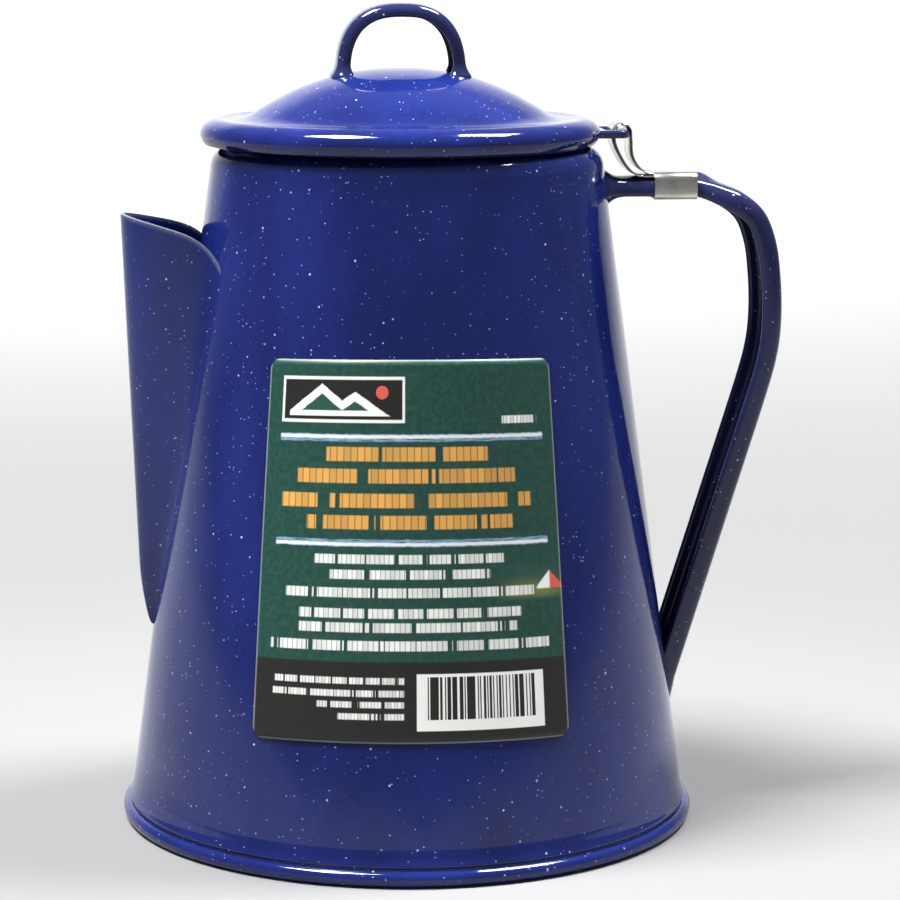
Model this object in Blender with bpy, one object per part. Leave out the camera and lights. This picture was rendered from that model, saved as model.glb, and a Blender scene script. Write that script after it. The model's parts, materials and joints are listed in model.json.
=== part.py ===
"""An enamelled camping percolator: pot, spout, strap handle, hinged lid and the loose pump insert.

The frame's origin is the centre of the flat underside, on the pot's axis. +X runs to the handle,
-X to the spout and +Z up. All sizes are in metres.
"""

import math

import bmesh
import bpy
from mathutils import Vector

MM = 0.001

# Sheets and clearances
SHEET = 1.0 * MM  # steel with enamel on both sides
STRAP_SHEET = 1.3 * MM  # the heavier steel of the two handles
ALUMINIUM_SHEET = 0.8 * MM
SPRING_STRIP = 0.5 * MM
GAP = 0.3 * MM  # between pieces that touch

# Pot: a plain cone with a rounded shoulder and a short neck
FOOT_RADIUS = 78.5 * MM  # of the cone carried down to the ground
SHOULDER_RADIUS = 54.2 * MM
SHOULDER_Z = 181.0 * MM
SHOULDER_ROLL = 5.0 * MM  # how far the shoulder turns in
SHOULDER_RISE = 6.2 * MM
NECK_HEIGHT = 6.1 * MM
SEAM_RADIUS = 2.2 * MM  # outside of the fold that joins the bottom to the wall
SEAM_OVERHANG = 2.0 * MM
STRAINER_HOLE_RADIUS = 1.8 * MM
STRAINER_PITCH = 8.0 * MM
STRAINER_ROWS = 9
STRAINER_LOW_Z = 80.0 * MM

# Spout: a rounded V whose keel is nearly upright
SPOUT_FOOT_Z = 54.0 * MM
SPOUT_FOOT_ROUND = 18.0 * MM
SPOUT_TIP_DROP = 11.8 * MM  # below the shoulder
SPOUT_FOOT_REACH = 2.9 * MM
SPOUT_TIP_REACH = 23.0 * MM
SPOUT_HALF_WIDTH = 21.3 * MM
SPOUT_TAPER = 0.8
RIM_FALL = 6.2 * MM  # the rim's even slope from tip to pot
RIM_DROP = 4.7 * MM  # its extra drop where it meets the pot
RIM_DROP_POWER = 7

# Handle: a channel of strap, open towards the pot. It runs level from its root to the end of the
# clip's band, then along these points, each given by its reach from the pot's wall and its depth
# below the shoulder, on the outer face.
HANDLE_ROOT_TUCK = 5.0 * MM
HANDLE_DROP = 2.9 * MM  # of the level stretch below the shoulder
HANDLE_LINE = [
    (31.3 * MM, 4.6 * MM),
    (37.9 * MM, 7.4 * MM),
    (43.0 * MM, 12.6 * MM),
    (45.2 * MM, 20.8 * MM),
    (45.3 * MM, 31.0 * MM),
    (44.2 * MM, 42.0 * MM),
    (41.9 * MM, 52.0 * MM),
    (37.2 * MM, 64.0 * MM),
]
HANDLE_FOOT_Z = 33.0 * MM
HANDLE_FOOT_TUCK = 16.0 * MM
HANDLE_ROOT_WIDTH = 15.5 * MM
HANDLE_GRIP_WIDTH = 20.5 * MM
HANDLE_ROOT_DEPTH = 5.0 * MM
HANDLE_GRIP_DEPTH = 6.0 * MM
HANDLE_CORNER = 3.2 * MM

# Lid: a flange rolled over the neck, a flat ledge and a dome
LID_PLAY = 2.5 * MM  # between the lid's skirt and the neck
LID_SHIFT = 1.9 * MM  # towards the spout, within that play
LID_OVERHANG = 0.7 * MM  # flange beyond the shoulder
LID_DOME_INSET = 12.4 * MM  # from the flange's edge to the foot of the dome
LID_DOME_HEIGHT = 13.8 * MM
LID_DOME_POWER = 2.2
SKIRT_DEPTH = 13.0 * MM
SKIRT_TAPER = 0.8 * MM
LOOP_HALF_WIDTH = 17.7 * MM
LOOP_RISE = 20.1 * MM
LOOP_FOOT_SINK = 1.2 * MM
LOOP_POWER = 2.5
LOOP_WIDTH = 14.0 * MM
LOOP_DEPTH = 3.6 * MM

# Hinge: the lid's eye turns in a loop of the spring clip
EYE_REACH = 6.3 * MM  # from the flange to the middle of the eye's bar
EYE_BAR_RADIUS = 1.1 * MM
EYE_HOLE_LENGTH = 3.5 * MM
EYE_SIDE = 3.2 * MM
HINGE_DROP = 4.2 * MM  # below the lid's ledge
TONGUE_WIDTH = 13.4 * MM
TONGUE_SIDE_PLAY = 0.6 * MM
BAND_START = 8.3 * MM  # beyond the hinge axis
BAND_LENGTH = 12.0 * MM
BAND_SHEET = 0.6 * MM

# Paper label on the side of the pot
LABEL_LOW_Z = 37.4 * MM
LABEL_HEIGHT = 98.8 * MM
LABEL_MIDDLE_ANGLE = -94.5
LABEL_TOP_HALF_ANGLE = 36.6
LABEL_LOW_HALF_ANGLE = 34.3
LABEL_SHEET = 0.3 * MM
LABEL_CORNER = 2.8 * MM
LABEL_DROOP = 1.2 * MM  # flat paper on a cone hangs lower at its sides than at its middle

# Pump insert of bare aluminium
PUMP_FOOT_RADIUS = 37.5 * MM
PUMP_FOOT_HEIGHT = 15.0 * MM
PUMP_INLET_WIDTH = 6.0 * MM
PUMP_INLET_HEIGHT = 3.0 * MM
TUBE_RADIUS = 4.75 * MM
TUBE_HEADROOM = 19.0 * MM  # under the dome
TUBE_PLAY = 1.0 * MM
BASKET_RADIUS = 38.0 * MM
BASKET_LIP = 1.5 * MM
BASKET_HEIGHT = 48.0 * MM
BASKET_DROP = 11.0 * MM  # from the shoulder to the basket's rim
STOP_RADIUS = 8.0 * MM
STOP_HEIGHT = 4.0 * MM
SPREADER_DISH = 3.0 * MM
PERFORATION_RADIUS = 1.4 * MM

STEPS_ROUND = 48
STEPS_SMALL = 24
LOOP_STEPS = 20


def clear_scene():
    """Removes everything the file opened with."""
    for obj in list(bpy.data.objects):
        bpy.data.objects.remove(obj)


def make_material(name, color, roughness, metallic):
    """One Principled material with plain values."""
    material = bpy.data.materials.new(name)
    material.use_nodes = True
    shader = material.node_tree.nodes["Principled BSDF"]
    shader.inputs["Base Color"].default_value = (*color, 1.0)
    shader.inputs["Roughness"].default_value = roughness
    shader.inputs["Metallic"].default_value = metallic
    return material


def make_object(name, bm, material=None):
    """Turns a closed bmesh into an object, faces outwards and shaded smooth up to its sharp edges."""
    bmesh.ops.remove_doubles(bm, verts=bm.verts, dist=1e-6)
    bmesh.ops.recalc_face_normals(bm, faces=bm.faces)
    mesh = bpy.data.meshes.new(name)
    bm.to_mesh(mesh)
    bm.free()
    mesh.shade_smooth()
    mesh.set_sharp_from_angle(angle=math.radians(35))
    obj = bpy.data.objects.new(name, mesh)
    bpy.context.scene.collection.objects.link(obj)
    if material:
        mesh.materials.append(material)
    return obj


def hide_cutter(cutter):
    """Keeps a helper out of the model."""
    cutter.hide_render = True
    cutter.display_type = "WIRE"


def boolean(obj, other, operation="DIFFERENCE"):
    """Adds a Boolean with a helper object."""
    modifier = obj.modifiers.new(operation.title(), "BOOLEAN")
    modifier.operation = operation
    modifier.solver = "EXACT"
    modifier.object = other
    hide_cutter(other)


def spin(name, profile, material=None, steps=STEPS_ROUND, closed=True, centre_x=0.0):
    """Turns a profile of (radius, height) points about an upright axis.

    A closed profile makes a ring; an open one starts and ends on the axis.
    """
    bm = bmesh.new()
    verts = [bm.verts.new((radius, 0.0, height)) for radius, height in profile]
    edges = [bm.edges.new(pair) for pair in zip(verts, verts[1:])]
    if closed:
        edges.append(bm.edges.new((verts[-1], verts[0])))
    bmesh.ops.spin(
        bm, geom=verts + edges, cent=(0, 0, 0), axis=(0, 0, 1), dvec=(0, 0, 0),
        angle=math.tau, steps=steps, use_merge=True, use_duplicate=False,
    )
    bmesh.ops.translate(bm, verts=bm.verts, vec=(centre_x, 0, 0))
    return make_object(name, bm, material)


def loft(name, rings, material=None, closed=False):
    """Extrudes the first ring of points through all the others, and caps both ends unless closed."""
    bm = bmesh.new()
    first = [bm.verts.new(point) for point in rings[0]]
    edges = [bm.edges.new(pair) for pair in zip(first, first[1:] + first[:1])]
    ring = first
    for points in rings[1:] + ([rings[0]] if closed else []):
        made = bmesh.ops.extrude_edge_only(bm, edges=edges)["geom"]
        fresh = {vert for vert in made if isinstance(vert, bmesh.types.BMVert)}
        edges = [e for e in made if isinstance(e, bmesh.types.BMEdge) and set(e.verts) <= fresh]
        ring = [next(e.other_vert(v) for e in v.link_edges if e.other_vert(v) in fresh) for v in ring]
        for vert, point in zip(ring, points):
            vert.co = point
    if not closed:
        bm.faces.new(first)
        bm.faces.new(ring)
    return make_object(name, bm, material)


def box(name, low, high):
    """A plain box between two corners."""
    bm = bmesh.new()
    bmesh.ops.create_cube(bm, size=1.0)
    size = Vector(high) - Vector(low)
    bmesh.ops.scale(bm, verts=bm.verts, vec=size)
    bmesh.ops.translate(bm, verts=bm.verts, vec=(Vector(high) + Vector(low)) / 2)
    return make_object(name, bm)


def drills(name, places, radius, length, along_x=False, sides=8):
    """Many round cutters in one helper, each centred on its place and upright, or along X."""
    bm = bmesh.new()
    for place in places:
        made = bmesh.ops.create_cone(
            bm, cap_ends=True, segments=sides, radius1=radius, radius2=radius, depth=length,
        )["verts"]
        if along_x:
            for vert in made:
                vert.co = Vector((vert.co.z, vert.co.x, vert.co.y))
        bmesh.ops.translate(bm, verts=made, vec=place)
    return make_object(name, bm)


def curve_through(points, steps):
    """A smooth line through points, as a Catmull-Rom curve with this many steps in each span."""
    ends = [points[0]] + list(points) + [points[-1]]
    line = []
    for i in range(len(points) - 1):
        a, b, c, d = (Vector(p) for p in ends[i:i + 4])
        for step in range(steps):
            t = step / steps
            line.append(
                0.5 * (2 * b + (c - a) * t + (2 * a - 5 * b + 4 * c - d) * t * t
                       + (3 * b - a - 3 * c + d) * t ** 3)
            )
    return line + [Vector(points[-1])]


def offset_line(points, distance):
    """The line moved sideways, to the right of its direction, with mitred corners."""
    moved = []
    for i, point in enumerate(points):
        normals = []
        for a, b in ((i - 1, i), (i, i + 1)):
            if a >= 0 and b < len(points):
                along = (Vector(points[b]) - Vector(points[a])).normalized()
                normals.append(Vector((along.y, -along.x)))
        total = sum(normals, Vector((0, 0)))
        mitre = total.normalized()
        moved.append(Vector(point) + mitre * distance / max(mitre.dot(normals[0]), 0.5))
    return moved


def wall_radius(z):
    """The pot's outer radius at a height on its cone."""
    return FOOT_RADIUS + (SHOULDER_RADIUS - FOOT_RADIUS) * z / SHOULDER_Z


def quarter(centre, across, up, steps):
    """A quarter of an ellipse from its outer side to its top."""
    angles = [math.pi / 2 * i / steps for i in range(steps + 1)]
    return [(centre[0] + across * math.cos(a), centre[1] + up * math.sin(a)) for a in angles]


# Places that several pieces share
NECK_RADIUS = SHOULDER_RADIUS - SHOULDER_ROLL
NECK_TOP_Z = SHOULDER_Z + SHOULDER_RISE + NECK_HEIGHT
LEDGE_Z = NECK_TOP_Z + GAP + SHEET
LID_RADIUS = SHOULDER_RADIUS + LID_OVERHANG
LID_TOP_Z = LEDGE_Z + LID_DOME_HEIGHT
HINGE_X = LID_RADIUS - LID_SHIFT + EYE_REACH
HINGE_Z = LEDGE_Z - HINGE_DROP
HANDLE_TOP_Z = SHOULDER_Z - HANDLE_DROP
BAND_X = HINGE_X + BAND_START
SPOUT_TIP_Z = SHOULDER_Z - SPOUT_TIP_DROP
PAN_FLOOR_Z = SHEET
BASKET_RIM_Z = SHOULDER_Z - BASKET_DROP
BASKET_FLOOR_Z = BASKET_RIM_Z - BASKET_HEIGHT


def pot_clearance(name):
    """A helper solid that fills the pot's cone and stands a gap proud of it."""
    low, high = -20 * MM, SHOULDER_Z + 20 * MM
    return spin(
        name, [(0, low), (wall_radius(low) + GAP, low), (wall_radius(high) + GAP, high), (0, high)],
        closed=False,
    )


def make_body_shell(enamel):
    """The pot's wall, from the flange in the bottom seam to the neck, with the strainer holes."""
    flange_top = SEAM_RADIUS + SHEET / 2
    outer = [(wall_radius(flange_top) + SEAM_OVERHANG - SHEET - 1.4 * GAP, flange_top)]
    outer += [(wall_radius(z), z) for z in (flange_top, 60 * MM, 120 * MM)]
    outer += quarter((NECK_RADIUS, SHOULDER_Z), SHOULDER_ROLL, SHOULDER_RISE, 5)
    outer.append((NECK_RADIUS, NECK_TOP_Z))
    inner = offset_line([Vector(p) for p in outer], -SHEET)
    shell = spin("body_shell", list(outer) + inner[::-1], enamel)
    places = []
    for row in range(STRAINER_ROWS):
        z = STRAINER_LOW_Z + row * STRAINER_PITCH
        room = spout_half_width(z) - 2 * STRAINER_HOLE_RADIUS
        columns = int(2 * room / STRAINER_PITCH) + 1
        columns -= (columns + row) % 2
        for column in range(max(columns, 1)):
            y = (column - (max(columns, 1) - 1) / 2) * STRAINER_PITCH
            places.append((-math.sqrt(wall_radius(z) ** 2 - y * y), y, z))
    boolean(shell, drills("strainer_drills", places, STRAINER_HOLE_RADIUS, 8 * MM, along_x=True, sides=10))
    return shell


def make_base_pan(enamel):
    """The flat bottom, its edge folded up and over the wall's flange."""
    foot = wall_radius(SEAM_RADIUS)
    centre = foot + SEAM_OVERHANG - SEAM_RADIUS
    lip_gap = foot + GAP - centre
    fold = []
    for radius, sign in ((SEAM_RADIUS, 1), (SEAM_RADIUS - SHEET, -1)):
        end = math.acos(lip_gap / radius)
        angles = [-math.pi / 2 + (end + math.pi / 2) * i / 6 for i in range(7)]
        arc = [(centre + radius * math.cos(a), SEAM_RADIUS + radius * math.sin(a)) for a in angles]
        fold += arc[::sign]
    return spin("base_pan", [(0, 0)] + fold + [(0, PAN_FLOOR_Z)], enamel, closed=False)


def spout_reach(z):
    """How far the spout's keel stands from the pot's wall at a height."""
    share = (z - SPOUT_FOOT_Z) / (SPOUT_TIP_Z - SPOUT_FOOT_Z)
    straight = SPOUT_FOOT_REACH + (SPOUT_TIP_REACH - SPOUT_FOOT_REACH) * share
    bend = min(max((z - SPOUT_FOOT_Z) / SPOUT_FOOT_ROUND, 0.0), 1.0)
    return straight * math.sqrt(1 - (1 - bend) ** 2)


def spout_half_width(z):
    """Half the spout's width where it meets the pot at a height."""
    share = (z - SPOUT_FOOT_Z) / (SPOUT_TIP_Z - SPOUT_TIP_DROP - SPOUT_FOOT_Z)
    return SPOUT_HALF_WIDTH * max(share, 0.001) ** SPOUT_TAPER


def spout_ring(z, inset, overrun, points=17):
    """A level section of the spout: a parabola round the keel, closed inside the pot."""
    half = spout_half_width(z) - inset
    reach = spout_reach(z) - inset
    radius = wall_radius(z)
    sharpness = (radius + reach - math.sqrt(radius ** 2 - half ** 2)) / half ** 2
    ring = []
    for i in range(points):
        y = (2 * i / (points - 1) - 1) * half * overrun
        ring.append((-(radius + reach) + sharpness * y * y, y, z))
    return ring


def make_spout(enamel):
    """The open V spout: outside less inside, trimmed by the pot and by the rim's curve."""
    top = SPOUT_TIP_Z + 3 * MM
    low = SPOUT_FOOT_Z + 0.4 * MM
    count = 18
    heights = [low + (top - low) * (i / (count - 1)) ** 1.5 for i in range(count)]
    spout = loft("spout", [spout_ring(z, 0.0, 1.2) for z in heights], enamel)
    inside = [z for z in heights if spout_reach(z) > 3 * SHEET and spout_half_width(z) > 3 * SHEET]
    inside.append(top + 5 * MM)
    boolean(spout, loft("spout_hollow", [spout_ring(z, SHEET, 1.4) for z in inside]))
    boolean(spout, pot_clearance("spout_trim"))

    tip_x = -(wall_radius(SPOUT_TIP_Z) + SPOUT_TIP_REACH)
    end_z = SPOUT_TIP_Z - RIM_FALL - RIM_DROP
    end_x = -math.sqrt(wall_radius(end_z) ** 2 - SPOUT_HALF_WIDTH ** 2)
    rim = []
    for i in range(-1, 15):
        share = i / 12
        fall = RIM_FALL * share + RIM_DROP * max(share, 0) ** RIM_DROP_POWER
        rim.append((tip_x + (end_x - tip_x) * share, SPOUT_TIP_Z - fall))
    outline = rim + [(rim[-1][0], top + 20 * MM), (rim[0][0], top + 20 * MM)]
    sides = [[(x, y, z) for x, z in outline] for y in (-60 * MM, 60 * MM)]
    boolean(spout, loft("rim_trim", sides))
    return spout


def channel_ring(place, inward, width, depth, sheet, corner):
    """A section of channel: a crowned web on the outer side and two flanges turned inward."""
    half = width / 2
    outer = [(-half, depth)]
    for i in range(4):
        angle = math.pi / 2 * i / 3
        outer.append((-half + corner * (1 - math.cos(angle)), corner * (1 - math.sin(angle)) + 0.1 * MM))
    outer.append((0.0, 0.0))
    outer += [(-y, n) for y, n in outer[-2::-1]]
    inner = offset_line([Vector(p) for p in outer], -sheet)
    across = Vector((0, 1, 0))
    return [place + across * y + inward * n for y, n in outer + [tuple(p) for p in inner[::-1]]]


def sweep_channel(name, line, sizes, sheet, corner, material):
    """Sweeps the channel along a line of (x, z) points; sizes gives width and depth at each."""
    rings = []
    for i, point in enumerate(line):
        before, after = line[max(i - 1, 0)], line[min(i + 1, len(line) - 1)]
        along = (after - before).normalized()
        inward = Vector((along.y, 0, -along.x))
        width, depth = sizes[i]
        place = Vector((point.x, 0, point.y))
        rings.append(channel_ring(place, inward, width, depth, sheet, corner))
    return loft(name, rings, material)


def ease(value, low, high):
    """0 below low, 1 above high, and a smooth rise between them."""
    share = min(max((value - low) / (high - low), 0.0), 1.0)
    return share * share * (3 - 2 * share)


def make_handle(enamel):
    """The big strap handle, from its root under the shoulder round to its foot low on the pot."""
    wide_from = BAND_X + BAND_LENGTH + GAP
    root = wall_radius(HANDLE_TOP_Z) - HANDLE_ROOT_TUCK
    points = [(wide_from, HANDLE_TOP_Z)]
    points += [(wall_radius(SHOULDER_Z - drop) + reach, SHOULDER_Z - drop) for reach, drop in HANDLE_LINE]
    bend = Vector(points[-1])
    foot = Vector((wall_radius(HANDLE_FOOT_Z), HANDLE_FOOT_Z))
    line = [Vector((root, HANDLE_TOP_Z)), Vector((wide_from - 2 * MM, HANDLE_TOP_Z))]
    line += curve_through(points + [tuple(bend.lerp(foot, 0.35))], 3)
    line += [bend.lerp(foot, 0.7), foot + (foot - bend).normalized() * HANDLE_FOOT_TUCK]
    sizes = []
    for point in line:
        share = 1.0 if point.y < HANDLE_TOP_Z - 6 * MM else ease(point.x, wide_from, wide_from + 13 * MM)
        sizes.append((
            HANDLE_ROOT_WIDTH + (HANDLE_GRIP_WIDTH - HANDLE_ROOT_WIDTH) * share,
            HANDLE_ROOT_DEPTH + (HANDLE_GRIP_DEPTH - HANDLE_ROOT_DEPTH) * share,
        ))
    handle = sweep_channel("handle", line, sizes, STRAP_SHEET, HANDLE_CORNER, enamel)
    boolean(handle, pot_clearance("handle_trim"))
    return handle


def rounded_rectangle(low, high, upper, lower, steps=3):
    """Points of a rectangle with its upper and lower corners rounded, anticlockwise."""
    points = []
    corners = ((high[0], high[1], -upper, -upper), (low[0], high[1], upper, -upper),
               (low[0], low[1], lower, lower), (high[0], low[1], -lower, lower))
    for turn, (across, up, right, rise) in enumerate(corners):
        for i in range(steps + 1):
            angle = math.pi / 2 * (turn + i / steps)
            points.append((
                across + right + abs(right) * math.cos(angle), up + rise + abs(rise) * math.sin(angle),
            ))
    return points


def make_hinge_clip(steel):
    """The spring clip: a band round the handle, and a tongue that loops through the lid's eye."""
    start = BAND_X
    half = HANDLE_ROOT_WIDTH / 2 + GAP
    roof = HANDLE_TOP_Z + 2 * GAP + SPRING_STRIP
    floor = HANDLE_TOP_Z - HANDLE_ROOT_DEPTH - GAP
    sides = [
        rounded_rectangle((-half - t, floor - t), (half + t, roof + t), 1.6 * MM + t, 0.3 * MM + t)
        for t in (BAND_SHEET, 0.0)
    ]
    rings = []
    for x, points in (
        (start, sides[0]), (start + BAND_LENGTH, sides[0]),
        (start + BAND_LENGTH, sides[1]), (start, sides[1]),
    ):
        rings.append([(x, y, z) for y, z in points])
    band = loft("hinge_clip", rings, steel, closed=True)

    tucked_z = HANDLE_TOP_Z + GAP + SPRING_STRIP / 2
    fixed_z = roof + BAND_SHEET / 2
    path = [
        (start + 1.5 * MM, fixed_z),
        (start - 1.2 * MM, fixed_z),
        (HINGE_X + 4.4 * MM, fixed_z + 1.6 * MM),
        (HINGE_X + 2.5 * MM, HINGE_Z - 6.0 * MM),
        (HINGE_X + 2.1 * MM, HINGE_Z - 1.6 * MM),
        (HINGE_X + 1.8 * MM, HINGE_Z + 1.2 * MM),
        (HINGE_X + 0.2 * MM, HINGE_Z + 2.6 * MM),
        (HINGE_X - 1.8 * MM, HINGE_Z + 2.0 * MM),
        (HINGE_X - 2.6 * MM, HINGE_Z - 0.2 * MM),
        (HINGE_X - 2.1 * MM, HINGE_Z - 3.4 * MM),
        (HINGE_X + 0.4 * MM, HINGE_Z - 8.2 * MM),
        (HINGE_X + 3.0 * MM, tucked_z + 0.8 * MM),
        (HINGE_X + 5.6 * MM, tucked_z),
        (start + 3.0 * MM, tucked_z),
    ]
    line = curve_through(path, 3)
    edges = [offset_line(line, side * SPRING_STRIP / 2) for side in (1, -1)]
    outline = edges[0] + edges[1][::-1]
    widths = (-TONGUE_WIDTH / 2, TONGUE_WIDTH / 2)
    tongue = loft("clip_tongue", [[(p.x, y, p.y) for p in outline] for y in widths])
    boolean(band, tongue, "UNION")
    return band


def lid_line():
    """The lid's outer line from the middle of the dome to the rolled lip."""
    foot = LID_RADIUS - LID_DOME_INSET
    line = [
        (foot * share, LEDGE_Z + LID_DOME_HEIGHT * (1 - share ** LID_DOME_POWER))
        for share in (0.0, 0.16, 0.32, 0.5, 0.7, 0.9)
    ]
    line += [
        (foot - 1.3 * MM, LEDGE_Z + 1.2 * MM),
        (foot + 1.0 * MM, LEDGE_Z + 0.25 * MM),
        (foot + 4.0 * MM, LEDGE_Z),
        (LID_RADIUS - 4.6 * MM, LEDGE_Z + 0.25 * MM),
        (LID_RADIUS - 2.1 * MM, LEDGE_Z - 0.6 * MM),
        (LID_RADIUS - 0.6 * MM, LEDGE_Z - 2.0 * MM),
        (LID_RADIUS, LEDGE_Z - 3.8 * MM),
        (LID_RADIUS - 0.3 * MM, LEDGE_Z - 5.3 * MM),
        (LID_RADIUS - 1.1 * MM, LEDGE_Z - 6.6 * MM),
    ]
    return [Vector(point) for point in line]


def on_axis(line, distance):
    """The line offset by a distance, with its first point kept on the axis."""
    moved = offset_line(line, distance)
    moved[0].x = 0.0
    return moved


def make_lid_shell(enamel):
    """The pressed lid: dome, ledge and rolled flange."""
    line = lid_line()
    inner = on_axis(line, SHEET)
    return spin("lid_shell", line + inner[::-1], enamel, closed=False, centre_x=-LID_SHIFT)


def make_lid_skirt(enamel):
    """The ring under the lid that keeps it in the neck."""
    top = LEDGE_Z - SHEET - GAP
    radius = NECK_RADIUS - SHEET - LID_PLAY
    profile = [
        (radius, top),
        (radius - SKIRT_TAPER, top - SKIRT_DEPTH),
        (radius - SKIRT_TAPER - SHEET, top - SKIRT_DEPTH),
        (radius - SHEET, top - SHEET),
        (radius - SHEET - 1.6 * MM, top - SHEET),
        (radius - SHEET - 1.6 * MM, top),
    ]
    return spin("lid_skirt", profile, enamel, centre_x=-LID_SHIFT)


def lid_clearance(name):
    """A helper solid that fills the lid and stands a gap proud of it."""
    line = on_axis(lid_line(), -GAP)
    low = line[-1].y - 2 * MM
    return spin(name, line + [(line[-1].x, low), (0, low)], closed=False, centre_x=-LID_SHIFT)


def make_lid_handle(enamel):
    """The small strap loop on the dome."""
    foot = LEDGE_Z + LID_DOME_HEIGHT - LOOP_FOOT_SINK - 1.4 * MM
    line = []
    for i in range(LOOP_STEPS + 1):
        angle = math.pi * i / LOOP_STEPS
        across = math.copysign(abs(math.cos(angle)) ** (2 / LOOP_POWER), math.cos(angle))
        up = abs(math.sin(angle)) ** (2 / LOOP_POWER)
        line.append(Vector((-LID_SHIFT - across * LOOP_HALF_WIDTH, foot + up * LOOP_RISE)))
    for end, step in ((0, 1), (-1, -1)):
        line.insert(0 if end == 0 else len(line), Vector((line[end].x, foot - 3 * MM)))
    sizes = [(LOOP_WIDTH, LOOP_DEPTH)] * len(line)
    handle = sweep_channel("lid_handle", line, sizes, STRAP_SHEET, 2.0 * MM, enamel)
    boolean(handle, lid_clearance("lid_handle_trim"))
    return handle


def make_lid_eye(enamel):
    """The flat eye on the lid's flange. Its outer bar is the hinge axis."""
    hole_half = TONGUE_WIDTH / 2 + TONGUE_SIDE_PLAY
    hole_end = HINGE_X - EYE_BAR_RADIUS
    hole_start = hole_end - EYE_HOLE_LENGTH
    inner = rounded_rectangle((hole_start, -hole_half), (hole_end, hole_half), 0.5 * MM, 0.5 * MM)
    outer = rounded_rectangle(
        (hole_start - 6 * MM, -hole_half - EYE_SIDE),
        (HINGE_X + EYE_BAR_RADIUS, hole_half + EYE_SIDE), 2.4 * MM, 2.4 * MM,
    )
    thick = EYE_BAR_RADIUS
    chamfer = 0.45 * MM
    rings = []
    for points, inset, z in (
        (outer, chamfer, thick), (outer, 0, thick - chamfer), (outer, 0, chamfer - thick),
        (outer, chamfer, -thick), (inner, -chamfer, -thick), (inner, 0, chamfer - thick),
        (inner, 0, thick - chamfer), (inner, -chamfer, thick),
    ):
        middle = sum((Vector(p) for p in points), Vector((0, 0))) / len(points)
        ring = []
        for x, y in points:
            ring.append((
                x - inset * math.copysign(1, x - middle.x), y - inset * math.copysign(1, y - middle.y),
                HINGE_Z + z,
            ))
        rings.append(ring)
    eye = loft("lid_eye", rings, enamel, closed=True)
    boolean(eye, lid_clearance("lid_eye_trim"))
    return eye


def make_label(paper):
    """The paper label, wrapped on the cone with its corners rounded."""
    high_z = LABEL_LOW_Z + LABEL_HEIGHT
    corner_turn = math.degrees(LABEL_CORNER / wall_radius(LABEL_LOW_Z + LABEL_HEIGHT / 2))
    span = LABEL_LOW_HALF_ANGLE
    turns = [-span + corner_turn * (1 - math.cos(math.pi / 2 * i / 4)) for i in range(5)]
    turns += [turns[-1] + (-2 * turns[-1]) * i / 20 for i in range(1, 20)]
    turns += [-turn for turn in turns[4::-1]]
    rings = []
    for turn in turns:
        into = max(corner_turn - (span - abs(turn)), 0.0) / corner_turn
        cut = LABEL_CORNER * (1 - math.sqrt(max(1 - into * into, 0.0)))
        droop = LABEL_DROOP * (turn / span) ** 2
        ring = []
        for lift, level, spread in (
            (GAP, LABEL_LOW_Z + cut, 1.0), (GAP, high_z - cut, LABEL_TOP_HALF_ANGLE / LABEL_LOW_HALF_ANGLE),
            (GAP + LABEL_SHEET, high_z - cut, LABEL_TOP_HALF_ANGLE / LABEL_LOW_HALF_ANGLE),
            (GAP + LABEL_SHEET, LABEL_LOW_Z + cut, 1.0),
        ):
            angle = math.radians(LABEL_MIDDLE_ANGLE + turn * spread)
            z = level - droop
            radius = wall_radius(z) + lift
            ring.append((radius * math.cos(angle), radius * math.sin(angle), z))
        rings.append(ring)
    return loft("label", rings, paper)


def make_pump_foot(aluminium):
    """The bell under the tube, with inlet notches in its edge."""
    low = PAN_FLOOR_Z + GAP
    hub = TUBE_RADIUS + GAP
    top = low + PUMP_FOOT_HEIGHT
    outer = [(hub, top + 3 * MM), (hub + ALUMINIUM_SHEET, top + 3 * MM), (hub + ALUMINIUM_SHEET, top)]
    for i in range(6):
        share = i / 5
        radius = hub + 4 * MM + (PUMP_FOOT_RADIUS - 3 * MM - hub - 4 * MM) * share
        outer.append((radius, top - (PUMP_FOOT_HEIGHT - ALUMINIUM_SHEET) * share ** 1.8))
    outer.append((PUMP_FOOT_RADIUS, low + ALUMINIUM_SHEET))
    inner = offset_line([Vector(p) for p in outer[2:]], ALUMINIUM_SHEET)
    inner[-1] = Vector((PUMP_FOOT_RADIUS, low))
    inner[0] = Vector((hub, inner[1].y))
    foot = spin("pump_foot", outer + inner[::-1], aluminium)
    for turn in range(4):
        notch = box(
            f"inlet_{turn}", (PUMP_FOOT_RADIUS - 14 * MM, -PUMP_INLET_WIDTH / 2, low - MM),
            (PUMP_FOOT_RADIUS + 2 * MM, PUMP_INLET_WIDTH / 2, low + PUMP_INLET_HEIGHT),
        )
        notch.rotation_euler.z = math.radians(45 + 90 * turn)
        boolean(foot, notch)
    return foot


def ring_profile(inner, outer, low, high):
    """The four corners of a plain ring's section."""
    return [(outer, high), (outer, low), (inner, low), (inner, high)]


def make_pump_tube(aluminium):
    """The tube that carries the water up from the bell to above the spreader."""
    low = PAN_FLOOR_Z + GAP + PUMP_FOOT_HEIGHT - 4 * MM
    return spin(
        "pump_tube",
        ring_profile(TUBE_RADIUS - ALUMINIUM_SHEET, TUBE_RADIUS, low, LID_TOP_Z - SHEET - TUBE_HEADROOM),
        aluminium, STEPS_SMALL,
    )


def make_basket_stop(aluminium):
    """The collar on the tube that the basket rests on."""
    high = BASKET_FLOOR_Z - GAP
    return spin(
        "basket_stop", ring_profile(TUBE_RADIUS + GAP, STOP_RADIUS, high - STOP_HEIGHT, high),
        aluminium, STEPS_SMALL,
    )


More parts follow.
